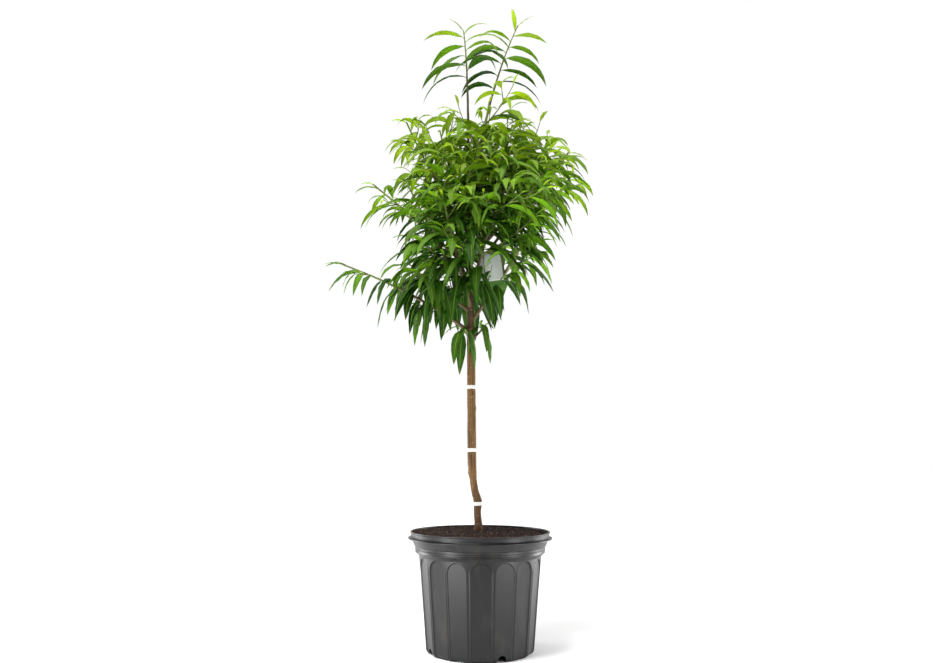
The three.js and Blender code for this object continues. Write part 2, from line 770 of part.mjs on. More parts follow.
/** Whether a point is nearer to one mass's stem than to any other, by a margin. */
function inSpace(own, point, margin) {
  const reach = chainDistance(point, STEM_CHAINS[own]) + margin;
  return STEM_CHAINS.every((chain, i) => i === own || chainDistance(point, chain) > reach);
}

/** Upright strips that cover the hang tag's card, and the neck above it. */
function tagChains() {
  const halfHeight = TAG.height / 2;
  const stripWidth = TAG.width / TAG.columns;
  const strips = Array.from({ length: TAG.columns }, (_, i) => {
    const across = (i + 0.5) * stripWidth - TAG.width / 2;
    return [cardPoint(across, -halfHeight), cardPoint(across, halfHeight)];
  });
  return [...strips, [cardPoint(0, halfHeight), neckFoot()]].map((chain) => ({
    chain,
    radius: stripWidth / 2,
    owner: null,
  }));
}

// All that leaves and twigs keep clear of, as chains of points with a radius. A stem has its mass as owner.
const OBSTACLES = [
  { chain: samples(trunkPath, TRUNK.chainSteps), radius: TRUNK.widest, owner: null },
  ...limbs.flatMap(({ path, bare, base: radius }, i) => [
    { chain: samples(path, LIMB.bareSteps, 0, bare), radius, owner: null },
    { chain: samples(path, LIMB.obstacleSteps, bare, 1), radius, owner: i },
  ]),
  ...tagChains(),
];

/** Whether a chain stays clear of the trunk, of every limb but its own stem, and of the tag. */
function clearOfObstacles(chain, own, distance, halfWidths) {
  return OBSTACLES.every(
    ({ chain: other, radius, owner }) => owner === own || apart(chain, other, radius + distance, halfWidths),
  );
}

/** A leaf: a folded blade, widest a third of the way along, on an arc that droops. */
function leafSolid(path, halfWidth, keel) {
  const profile = [
    new THREE.Vector2(0, 0),
    ...LEAF_STATIONS.map(({ along, share }) => new THREE.Vector2(share, along)),
    new THREE.Vector2(0, 1),
  ];
  const spindle = new THREE.LatheGeometry(profile, 3);
  const edgeShare = Math.sin(radians(60));
  return toSolid(bend(spindle, path, halfWidth / edgeShare, -keel));
}

/** The outermost corners of a leaf, where it could leave its space. */
function leafCorners(path, halfWidth, keel) {
  const corners = [path.getPoint(1), path.getPoint(LEAF_HEAD)];
  for (const { along, share } of [...LEAF_STATIONS, LEAF_WAIST]) {
    const { side, normal } = path.frameAt(along);
    const point = path.getPoint(along);
    corners.push(point.clone().addScaledVector(side, halfWidth * share));
    corners.push(point.clone().addScaledVector(side, -halfWidth * share));
    corners.push(point.clone().addScaledVector(normal, -keel * share));
    corners.push(point.clone().addScaledVector(normal, keel * share));
  }
  return corners;
}

/** One foliage mass: its stem, its twigs and its leaves, grown by the seeded rule. */
class Foliage {
  constructor(limb, index) {
    this.limb = limb;
    this.index = index;
    this.random = seededNumbers(limb.seed * SEED_STEP);
    this.chains = [];
    this.solids = [];
    this.leaves = 0;
  }

  grow() {
    const { limb } = this;
    const gapShare = GAP / limb.path.getLength();
    const stemStart = limb.bare + gapShare;
    const stem = { path: limb.path, start: stemStart, end: 1 };
    stem.chain = samples(limb.path, LIMB.stemChainSteps, stemStart, 1);
    this.solids.push(tube(limb.path, limb.radiusAt, LIMB.stemSides, LIMB.stemSteps, stemStart, 1));
    this.chains.push(stem.chain);
    const shoots = [stem, ...this.growTwigs(stem)];
    shoots.forEach((shoot, order) => this.growLeaves(shoot, order));
    return mainBody(this.solids.reduce((all, next) => all.add(next)));
  }

  growTwigs(stem) {
    const { limb, random } = this;
    const twigs = [];
    for (let i = 0; i < limb.twigs; i += 1) {
      const place = (i + between(random, TWIG.placeLow, TWIG.placeHigh)) / limb.twigs;
      const along = lerp(stem.start + TWIG.first, TWIG.last, place);
      const taper = TWIG.headTaper - (TWIG.shorten * i) / limb.twigs;
      const length = limb.twigLength * taper * between(random, TWIG.vigourLow, TWIG.vigourHigh);
      const roll = limb.turn + i * GOLDEN_TURN + swayed(random, TWIG.rollSway);
      for (let attempt = 0; attempt < TWIG.tries; attempt += 1) {
        const turn = radians(roll + TWIG.retryTurn * attempt);
        const twig = this.addTwig(stem, along, turn, length * (1 - TWIG.retryCut * attempt));
        if (!twig) continue;
        twigs.push(twig);
        break;
      }
    }
    return twigs;
  }

  addTwig(stem, along, roll, length) {
    const path = this.sideShoot(stem.path, along, roll, radians(TWIG.fork), radians(TWIG.turnUp), length);
    const chain = samples(path, TWIG.steps);
    const beyond = chain.slice(1);
    const fits = beyond.every((point) => inSpace(this.index, point, SPACE_CLEARANCE + TWIG.base));
    if (!fits || !clearOfObstacles(chain, this.index, TWIG.base + LIMB_CLEARANCE)) return null;
    if (this.chains.some((other) => other !== stem.chain && !apart(chain, other, TWIG.apart))) return null;
    this.solids.push(tube(path, (share) => lerp(TWIG.base, TWIG.tip, share), TWIG.sides, TWIG.steps));
    this.chains.push(chain);
    return { path, start: 0, end: 1, chain };
  }

  /** An arc that leaves a shoot at a share of its length, at a roll round it and an angle from it. */
  sideShoot(parent, along, roll, angle, bendAngle, length) {
    const tangent = parent.getTangent(along);
    const { side, normal } = parent.frameAt(along);
    const outward = side.multiplyScalar(Math.cos(roll)).addScaledVector(normal, Math.sin(roll));
    const heading = tangent.multiplyScalar(Math.cos(angle)).addScaledVector(outward, Math.sin(angle));
    const azimuth = Math.atan2(heading.y, heading.x);
    const elevation = Math.asin(THREE.MathUtils.clamp(heading.z, -1, 1));
    return new ArcPath(parent.getPoint(along), azimuth, elevation, bendAngle, length);
  }

  growLeaves(shoot, order) {
    const { limb, random } = this;
    const length = shoot.path.getLength() * (shoot.end - shoot.start);
    const count = Math.max(3, Math.round(length / (limb.spacing ?? LEAF.spacing)));
    const spiral = limb.spiral ?? LEAF.turn;
    for (let k = 0; k < count; k += 1) {
      const share = 1 - (k + LEAF.topGap) / count;
      const along = lerp(shoot.start, shoot.end, lerp(LEAF.first, LEAF.last, share));
      for (let attempt = 0; attempt < LEAF.tries; attempt += 1) {
        const vigour = between(random, LEAF.vigourLow, LEAF.vigourHigh);
        const sway = swayed(random, LEAF.rollSway);
        const tilt = radians(swayed(random, LEAF.tilt));
        const size = this.leafSize(share, k) * vigour * (1 - LEAF.retryCut * attempt);
        const roll = limb.turn + LEAF.shootTurn * order + spiral * k + sway + LEAF.retryTurn * attempt;
        if (this.addLeaf(shoot, along, radians(roll), size, share, tilt)) break;
      }
    }
  }

  /** Young leaves near the tip are shorter, and so are those at a shoot's foot. */
  leafSize(share, k) {
    const young = LEAF.youngSizes[k] ?? 1;
    return this.limb.leaf * young * lerp(LEAF.footSize, LEAF.headSize, share);
  }

  addLeaf(shoot, along, roll, size, share, tilt) {
    const young = Math.max(0, share - LEAF.youngFrom) / (1 - LEAF.youngFrom);
    const foot = shoot.path.getPoint(along);
    const height = THREE.MathUtils.smoothstep(foot.z, CROWN.footZ, CROWN.headZ);
    const hang = (1 - height) * (1 - LEAF.youngHang * young);
    const grown = lerp(LEAF.divergence, LEAF.lowDivergence, hang);
    const angle = radians(lerp(grown, LEAF.youngDivergence, young));
    const arc = this.sideShoot(shoot.path, along, roll, angle, 0, size);
    const raised = Math.max(radians(LEAF.start), arc.elevation);
    arc.elevation = lerp(arc.elevation, raised, LEAF.lift * (1 - hang));
    const sway = swayed(this.random, LEAF.endSway);
    const rise = this.limb.twigs ? LEAF.youngLift : LEAF.leaderLift;
    const end = lerp(LEAF.end, LEAF.lowEnd, hang) + rise * young + sway;
    const ease = lerp(LEAF.ease, LEAF.lowEase, hang);
    const path = new LeafPath(arc, radians(Math.max(end, LEAF.steepest)), ease, tilt);
    const halfWidth = (size * LEAF.widthShare) / 2;
    const keel = size * LEAF.keel;
    const corners = leafCorners(path, halfWidth, keel);
    if (!corners.every((corner) => inSpace(this.index, corner, SPACE_CLEARANCE))) return false;
    const chain = LEAF_CHECKS.map(({ along }) => path.getPoint(along));
    const halfWidths = LEAF_CHECKS.slice(1).map(({ share }) => share * halfWidth);
    if (!clearOfObstacles(chain, this.index, LIMB_CLEARANCE, halfWidths)) return false;
    const others = this.chains.filter((other) => other !== shoot.chain);
    if (!others.every((other) => apart(chain, other, LEAF_CLEARANCE))) return false;
    this.solids.push(leafSolid(path, halfWidth, keel));
    this.chains.push(chain);
    this.leaves += 1;
    return true;
  }
}

// ---------------------------------------------------------------- assembly

const tree = new THREE.Group();
tree.add(piece("pot", makePot(), COLOURS.pot));
tree.add(piece("soil", makeSoil(), COLOURS.soil));
tree.add(piece("trunk", makeTrunk(), COLOURS.bark));
TIES.heights.forEach((z, i) => {
  tree.add(piece(`tie_${i + 1}`, makeBand(z, TIES.width, TIES.thickness), COLOURS.tie));
});
tree.add(piece("hang_tag", makeTag(), COLOURS.tag));

const cutters = [trunkTube(GAP)];
for (const limb of limbs) {
  tree.add(piece(limb.name, makeBough(limb, cutters), COLOURS.bark));
  cutters.push(grownBough(limb));
}
limbs.forEach((limb, i) => {
  const foliage = new Foliage(limb, i);
  tree.add(piece(`foliage_${limb.name}`, foliage.grow(), COLOURS.leaf));
});

export default tree;
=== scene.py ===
"""Dresses the potted dwarf peach tree: a moulded nursery pot with potting mix, a stem with its boughs and
twigs, long arching leaves, white ties and a blank hang tag, on a plain pale floor.

Shapes are worked out in millimetres and handed to Blender in metres. The limbs, twigs and leaves grow by a
seeded rule, so every run gives the same tree."""

from __future__ import annotations

import logging
import math
from dataclasses import dataclass
from enum import Enum
from typing import Any, Callable, Iterable, Sequence

import bpy
import numpy as np
from mathutils import Matrix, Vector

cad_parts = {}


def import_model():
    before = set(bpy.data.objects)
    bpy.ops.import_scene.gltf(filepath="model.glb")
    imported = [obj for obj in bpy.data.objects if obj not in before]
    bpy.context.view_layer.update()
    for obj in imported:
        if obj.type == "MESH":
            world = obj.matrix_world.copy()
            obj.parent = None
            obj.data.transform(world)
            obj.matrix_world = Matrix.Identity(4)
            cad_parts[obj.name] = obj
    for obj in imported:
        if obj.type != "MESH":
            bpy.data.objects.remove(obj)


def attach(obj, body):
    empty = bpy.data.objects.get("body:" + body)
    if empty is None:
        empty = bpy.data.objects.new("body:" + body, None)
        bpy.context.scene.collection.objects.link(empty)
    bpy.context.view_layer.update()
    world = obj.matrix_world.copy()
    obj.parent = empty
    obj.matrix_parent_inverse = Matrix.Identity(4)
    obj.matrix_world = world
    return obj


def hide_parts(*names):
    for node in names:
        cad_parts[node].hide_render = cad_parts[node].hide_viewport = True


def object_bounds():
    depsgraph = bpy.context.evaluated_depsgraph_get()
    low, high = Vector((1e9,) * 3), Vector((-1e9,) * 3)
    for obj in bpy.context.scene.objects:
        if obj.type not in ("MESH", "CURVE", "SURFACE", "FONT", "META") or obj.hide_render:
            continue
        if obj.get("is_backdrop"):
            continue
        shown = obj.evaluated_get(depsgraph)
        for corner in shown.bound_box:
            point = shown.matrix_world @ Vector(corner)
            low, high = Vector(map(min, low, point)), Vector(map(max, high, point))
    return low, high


LOG = logging.getLogger("peach_tree")
MM = 0.001
ROOT = "root"
TURN = 2 * math.pi
# How far leaves may pass the box of the solids, and the space in front of the tag that they leave free.
REACH_MARGIN = 16.0
TAG_WINDOW = ((22.0, -400.0, 900.0), (60.0, -24.0, 986.0))
Vec = np.ndarray
Span = tuple[float, float]
Triple = tuple[float, float, float]


# ---------------------------------------------------------------- numbers and small geometry


class Numbers:
    """A repeatable stream of numbers from 0 to 1."""

    FACTOR = 1664525
    STEP = 1013904223
    SPAN = 2**32

    def __init__(self, seed: int) -> None:
        """Starts the stream.

        Args:
            seed: A whole number; the same seed gives the same stream.
        """
        self.state = seed % self.SPAN

    def next(self) -> float:
        """The next number from 0 to 1."""
        self.state = (self.state * self.FACTOR + self.STEP) % self.SPAN
        return self.state / self.SPAN

    def between(self, low: float, high: float) -> float:
        """The next number, from low to high."""
        return low + (high - low) * self.next()

    def sway(self, half: float) -> float:
        """The next number, up to half either side of nought."""
        return half * (2 * self.next() - 1)


def vec(x: float, y: float, z: float) -> Vec:
    """A point or direction from its three parts."""
    return np.array([x, y, z], float)


def heading(azimuth: float) -> Vec:
    """The level unit vector at an azimuth, in radians from +X."""
    return vec(math.cos(azimuth), math.sin(azimuth), 0)


def beside(azimuth: float) -> Vec:
    """The level unit vector to the left of a heading, whose azimuth is in radians from +X."""
    return vec(-math.sin(azimuth), math.cos(azimuth), 0)


def round_angles(count: int) -> Vec:
    """Even angles round a full turn, in radians from nought."""
    return np.arange(count) / count * TURN


def round_points(azimuth: Vec, radius: Vec | float, height: Vec | float) -> Vec:
    """Points round the Z axis, one row for each azimuth in radians."""
    rise = np.broadcast_to(np.asarray(height, float), azimuth.shape)
    return np.stack([radius * np.cos(azimuth), radius * np.sin(azimuth), rise], -1)


def lerp(a: Any, b: Any, share: Any) -> Any:
    """What lies a share of the way from a to b."""
    return a + (b - a) * share


def clamp(value: Any, low: float = 0.0, high: float = 1.0) -> Any:
    """The value, kept from low to high."""
    return np.clip(value, low, high)


def smooth(value: Any, low: float, high: float) -> Any:
    """A soft step from 0 at low to 1 at high."""
    share = clamp((value - low) / (high - low))
    return share * share * (3 - 2 * share)


def unit(rows: Vec) -> Vec:
    """Each row of an array of vectors, made one long."""
    return rows / np.linalg.norm(rows, axis=-1, keepdims=True)


def turned(rows: Vec, axes: Vec, angles: Vec) -> Vec:
    """Vectors turned about unit axes at right angles to them.

    Args:
        rows: The vectors.
        axes: One axis for each vector.
        angles: One angle in radians for each vector.

    Returns:
        The turned vectors.
    """
    angles = np.asarray(angles)[..., None]
    return rows * np.cos(angles) + np.cross(axes, rows) * np.sin(angles)


def ripple(points: Vec, scale: float, seed: int, octaves: int = 3) -> Vec:
    """A smooth repeatable roughness in space, from about -1 to 1.

    Args:
        points: Where it is read, one row each.
        scale: The size of its largest bumps, in the points' unit.
        seed: Chooses the pattern.
        octaves: How many finer layers it has.

    Returns:
        One number for each point.
    """
    waves, fade, usual_height = 5, 0.6, 0.45
    numbers = Numbers(seed)
    total = np.zeros(len(points))
    weight = 0.0
    for octave in range(octaves):
        strength = fade**octave
        for _ in range(waves):
            wave = unit(vec(numbers.sway(1), numbers.sway(1), numbers.sway(1)))
            pitch = TURN * 2**octave / scale * numbers.between(0.7, 1.4)
            total += strength * np.sin(points @ wave * pitch + numbers.between(0, TURN))
            weight += strength * usual_height
    return total / weight


# ---------------------------------------------------------------- paths


class Path:
    """A curve with a side direction and a normal across it, read at shares of its length."""

    LENGTH_POINTS = 25
    side_direction: Vec

    def points(self, along: Vec) -> Vec:
        """Points of the curve, one row for each share in along."""
        raise NotImplementedError

    def tangents(self, along: Vec) -> Vec:
        """Unit directions of the curve, one row for each share in along."""
        raise NotImplementedError

    def frames(self, along: Vec) -> tuple[Vec, Vec]:
        """The side and the normal of the curve.

        Args:
            along: Shares of the curve's length.

        Returns:
            Unit side vectors and unit normals, one row for each share.
        """
        tangents = self.tangents(along)
        sides = unit(self.side_direction - (tangents @ self.side_direction)[:, None] * tangents)
        return sides, np.cross(sides, tangents)

    def length(self) -> float:
        """The length of the curve."""
        points = self.points(np.linspace(0, 1, self.LENGTH_POINTS))
        return float(np.linalg.norm(np.diff(points, axis=0), axis=1).sum())


class ArcPath(Path):
    """A curve in one upright plane that starts at an elevation and turns evenly by an angle."""

    def __init__(self, start: Vec, azimuth: float, elevation: float, turn: float, length: float) -> None:
        """Lays the curve.

        Args:
            start: Its first point.
            azimuth: The heading of its plane, in radians from +X.
            elevation: Its first direction above the level, in radians.
            turn: How far it turns upwards along its length, in radians.
            length: How long it is.
        """
        self.start, self.azimuth, self.elevation = start, azimuth, elevation
        self.turn, self.reach = turn, length
        self.side_direction = beside(azimuth)

    def elevations(self, along: Vec) -> Vec:
        """The curve's elevations in radians, one for each share in along."""
        return self.elevation + self.turn * np.asarray(along, float)

    def points(self, along: Vec) -> Vec:
        """Points of the curve, one row for each share in along."""
        along = np.asarray(along, float)
        half = self.turn * along / 2
        chord = self.reach * along * np.sinc(half / math.pi)
        flat, rise = chord * np.cos(self.elevation + half), chord * np.sin(self.elevation + half)
        return self.start + np.stack(
            [flat * math.cos(self.azimuth), flat * math.sin(self.azimuth), rise], axis=1)

    def tangents(self, along: Vec) -> Vec:
        """Unit directions of the curve, one row for each share in along."""
        elevation = self.elevations(along)
        flat = np.cos(elevation)
        return np.stack(
            [flat * math.cos(self.azimuth), flat * math.sin(self.azimuth), np.sin(elevation)], axis=1)

    def length(self) -> float:
        """The length of the curve."""
        return self.reach


class LeafPath(ArcPath):
    """A leaf's midrib: it droops in one upright plane, most of all near its foot."""

    STEPS = 32

    def __init__(self, arc: ArcPath, turn: float, ease: float) -> None:
        """Lays the midrib.

        Args:
            arc: Gives the first point, the heading, the first elevation and the length.
            turn: How far it turns upwards along its length, in radians.
            ease: 1 for an even bend, and more for one that is done sooner.
        """
        super().__init__(arc.start, arc.azimuth, arc.elevation, turn, arc.reach)
        self.ease = ease
        self.shares = np.linspace(0, 1, self.STEPS + 1)
        middles = (self.shares[1:] + self.shares[:-1]) / 2
        steps = self.tangents(middles) * arc.reach / self.STEPS
        self.line = arc.start + np.vstack([np.zeros(3), np.cumsum(steps, axis=0)])

    def elevations(self, along: Vec) -> Vec:
        """The midrib's elevations in radians, one for each share in along."""
        done = 1 - (1 - clamp(np.asarray(along, float))) ** self.ease
        return self.elevation + self.turn * done

    def points(self, along: Vec) -> Vec:
        """Points of the midrib, one row for each share in along."""
        return np.stack([np.interp(along, self.shares, self.line[:, i]) for i in range(3)], axis=1)


class LimbPath(Path):
    """A limb's axis: a quadratic curve in one upright plane."""

    LEAST_SPREAD = -0.5

    def __init__(self, start: Vec, limb: "Limb") -> None:
        """Lays the axis.

        Args:
            start: Where the limb leaves the trunk's axis.
            limb: The limb's own sizes.
        """
        azimuth = math.radians(limb.azimuth)
        ahead = heading(azimuth)
        self.side_direction = beside(azimuth)
        across = limb.out * (0.5 + limb.spread / 2)
        up = limb.rise * (0.5 - max(limb.spread, self.LEAST_SPREAD) / 2)
        self.controls = [
            start,
            start + ahead * across + vec(0, 0, up),
            start + ahead * limb.out + vec(0, 0, limb.rise),
        ]

    def points(self, along: Vec) -> Vec:
        """Points of the curve, one row for each share in along."""
        t = np.asarray(along, float)[:, None]
        first, middle, last = self.controls
        return (1 - t) ** 2 * first + 2 * t * (1 - t) * middle + t**2 * last

    def tangents(self, along: Vec) -> Vec:
        """Unit directions of the curve, one row for each share in along."""
        t = np.asarray(along, float)[:, None]
        first, middle, last = self.controls
        return unit(2 * (1 - t) * (middle - first) + 2 * t * (last - middle))


class TrunkPath(Path):
    """The trunk's axis, a smooth curve through its stations."""

    SEARCH_POINTS = 2001
    TANGENT_STEP = 1e-4
    side_direction = vec(0, 1, 0)

    def __init__(self, stations: Sequence[tuple[float, float, float, float]]) -> None:
        """Lays the axis.

        Args:
            stations: The x, y and z of the axis and the radius there, from the soil up.
        """
        rows = np.array(stations, float)
        self.nodes, self.radii = rows[:, :3], rows[:, 3]
        first = 2 * self.nodes[0] - self.nodes[1]
        last = 2 * self.nodes[-1] - self.nodes[-2]
        self.padded = np.vstack([first, self.nodes, last])

    def points(self, along: Vec) -> Vec:
        """Points of the curve, one row for each share in along."""
        place = clamp(np.asarray(along, float)) * (len(self.nodes) - 1)
        below = np.minimum(place.astype(int), len(self.nodes) - 2)
        t = (place - below)[:, None]
        p0, p1, p2, p3 = (self.padded[below + i] for i in range(4))
        m1, m2 = (p2 - p0) / 2, (p3 - p1) / 2
        bend = 2 * (p1 - p2) + m1 + m2
        lean = -3 * (p1 - p2) - 2 * m1 - m2
        return p1 + m1 * t + lean * t**2 + bend * t**3

    def tangents(self, along: Vec) -> Vec:
        """Unit directions of the curve, one row for each share in along."""
        low = clamp(np.asarray(along, float) - self.TANGENT_STEP)
        high = clamp(np.asarray(along, float) + self.TANGENT_STEP)
        return unit(self.points(high) - self.points(low))

    def radius_at(self, along: Vec) -> Vec:
        """The trunk's radius at each share of its axis."""
        place = clamp(np.asarray(along, float)) * (len(self.nodes) - 1)
        return np.interp(place, np.arange(len(self.nodes)), self.radii)

    def cut_at(self, height: float) -> tuple[Vec, float]:
        """The middle and the radius of the trunk at a height."""
        shares = np.linspace(0, 1, self.SEARCH_POINTS)
        share = np.interp([height], self.points(shares)[:, 2], shares)
        return self.points(share)[0], float(self.radius_at(share)[0])


# ---------------------------------------------------------------- how the tree grows


@dataclass(frozen=True)
class Limb:
    """One limb: where it leaves the trunk, where its tip lies, and the foliage that it carries.

    It leaves the trunk at `height` towards `azimuth` (degrees, 0 = +X, 90 = +Y), and its tip lies `out`
    and `rise` away. `spread` above 0 sets off outwards and then turns up; below 0 it arches over. `bare`
    is the share of its length below its foliage. `base` and `tip` are its radii, `leaf` is the length of
    its leaves and `spacing` the stem between two of them. `turn` and `spiral` are the first leaf's place
    round the stem and the step to the next, in degrees. Sizes are millimetres.
    """

    name: str
    height: float
    azimuth: float
    out: float
    rise: float
    spread: float
    bare: float
    base: float
    tip: float
    twigs: int
    twig_length: float
    leaf: float
    turn: float
    seed: int
    spiral: float = 144.0
    spacing: float = 24.0


LIMBS = (
    Limb("leader_left", 1104, 168, 14, 516, -1.6, 0.56, 5, 1.3, 0, 60, 155, 80, 23, 183, 21),
    Limb("leader_right", 1100, -8, 134, 524, -0.3, 0.53, 5, 1.3, 0, 60, 145, 63, 632, 183, 21),
    Limb("shoot_centre_front", 1088, -61, 111, 292, 0.1, 0.13, 4.4, 2, 6, 153, 130, 119, 663),
    Limb("shoot_centre_back", 1076, 120, 162, 313, 0.1, 0.14, 4.6, 2, 7, 147, 145, 141, 420),
    Limb("bough_upper_left", 1056, 183, 166, 300, 0.1, 0.15, 4.8, 2, 7, 95, 142, 165, 409),
    Limb("bough_upper_right", 1036, 16, 187, 295, 0.1, 0.15, 5, 2, 10, 182, 149, 158, 354),
    Limb("bough_right", 984, -6, 262, 284, 0, 0.15, 5.2, 2, 6, 144, 135, 3, 486),
    Limb("bough_left", 960, 177, 258, 232, -0.05, 0.2, 5.2, 2, 3, 70, 118, 245, 515),
    Limb("bough_back_right", 938, 41, 240, 303, 0.05, 0.15, 5.2, 2, 4, 162, 175, 100, 755),
    Limb("bough_back_left", 918, 112, 240, 271, 0.05, 0.15, 5.2, 2, 8, 139, 142, 39, 888),
    Limb("bough_front_right", 898, -59, 189, 329, 0.05, 0.15, 5.2, 2, 9, 175, 144, 273, 560),
    Limb("bough_front_left", 876, 215, 195, 280, 0.05, 0.15, 5.2, 2, 7, 107, 130, 192, 709),
    Limb("bough_front", 858, -109, 211, 241, 0.05, 0.15, 5.2, 2, 6, 123, 162, 36, 776, 144, 15),
    Limb("spur_centre_front", 1040, -82, 122, 78, 0.1, 0.2, 4, 2, 8, 208, 130, 4, 747),
    Limb("spur_centre_back", 864, 92, 132, 104, 0.1, 0.2, 4, 2, 6, 89, 141, 265, 750),
    Limb("spur_low_left", 848, 197, 116, 84, 0.1, 0.2, 4, 2, 3, 122, 160, 248, 216, 144, 15),
    Limb("bough_low_right", 818, -10, 155, 237, 0.05, 0.2, 5.2, 2, 7, 122, 124, 238, 790),
    Limb("bough_low_left", 792, 186, 350, 178, -0.2, 0.2, 5.4, 1.8, 3, 62, 122, 144, 244),
    Limb("spur_low_front", 762, 249, 39, 36, 0.2, 0.44, 3.4, 1.8, 1, 43, 150, 104, 588),
    Limb("spur_low_right", 776, 5, 38, 37, 0.2, 0.44, 3.4, 1.8, 1, 23, 115, 221, 264),
)

TRUNK_STATIONS = (
    (-4, 0, 292.3, 12),
    (-5, 0, 312, 9.2),
    (-7, 0, 338, 8.9),
    (-6, 1, 364, 11),
    (-13, 3, 388, 9.7),
    (-18, 4, 420, 8.8),
    (-21, 3, 470, 11.2),
    (-22, 0, 570, 11),
    (-24, -2, 720, 10.4),
    (-26, -2, 850, 9.6),
    (-30, 0, 985, 8.4),
    (-34, 0, 1122, 7.2),
)


@dataclass
class Shoot:
    """A stem or twig that carries leaves between two shares of its path."""

    path: Path
    start: float
    end: float
    order: int
    base: float
    tip: float

    def span(self) -> float:
        """The length that carries leaves."""
        return self.path.length() * (self.end - self.start)


@dataclass
class Leaf:
    """One leaf: its path, its size, and where it stands between young and old, a number that also paints
    shade on leaves low in the crown.
    """

    path: Path
    half_width: float
    tilt: float
    twist: float
    fold: float
    phase: float
    age: float
    tone: float


@dataclass(frozen=True)
class GrowthRule:
    """The rule that every mass of foliage grows by. Sizes are millimetres and degrees.

    A pair of numbers is the least and the most of a random share, and a sway is the most either side.
    """

    seed_step: int = 7919
    golden_turn: float = 137.5

    twig_base: float = 1.9
    twig_tip: float = 0.9
    twig_first: float = 0.04
    twig_last: float = 0.88
    twig_place: float = 0.3
    twig_play: float = 0.4
    twig_longest: float = 1.1
    twig_shorten: float = 0.4
    twig_lengths: Span = (0.85, 1.15)
    twig_roll_sway: float = 15
    twig_fork: float = 48
    twig_turn_up: float = 26
    twig_thinning: float = 0.8

    fine_every: float = 62
    fine_places: Span = (0.35, 0.7)
    fine_end: float = 0.4
    fine_roll_sways: Span = (30, 20)
    fine_length: float = 0.46
    fine_lengths: Span = (0.7, 1.1)
    fine_fork: float = 44

    least_leaves: int = 3
    leaf_top: float = 0.15
    leaf_first: float = 0.06
    leaf_reach: float = 0.93
    leaf_sizes: Span = (0.78, 1.16)
    leaf_young_sizes: tuple[float, ...] = (0.42, 0.74, 0.92)
    leaf_foot_size: float = 1.04
    leaf_head_size: float = 0.86
    leaf_order_turn: float = 50
    leaf_roll_sway: float = 26
    leaf_divergence: float = 50
    leaf_young_divergence: float = 15
    leaf_low_divergence: float = 62
    leaf_divergence_sway: float = 7
    leaf_start: float = 32
    leaf_lift: float = 0.55
    leaf_end: float = -72
    leaf_low_end: float = -87
    leaf_end_sway: float = 10
    leaf_steepest: float = -89
    leaf_young_lift: float = 44
    leaf_leader_lift: float = 100
    leaf_ease: float = 1.1
    leaf_low_ease: float = 3.4
    leaf_tilt: float = 30
    leaf_twist: float = 22
    leaf_folds: Span = (12, 34)
    leaf_width: float = 0.165
    leaf_low_width: float = 0.24
    leaf_widths: Span = (0.88, 1.12)

    young_share: float = 0.75
    young_hang: float = 0.5
    hang_foot: float = 810
    hang_head: float = 1020
    # Leaves lower between crown_foot and young_and_lit_head count older and darker: partly real age, partly
    # painted shade of the lower crown.
    crown_foot: float = 800
    young_and_lit_head: float = 1300
    age_by_place: float = 0.1
    age_and_shade_by_height: float = 0.7
    age_sway: float = 0.12


RULE = GrowthRule()


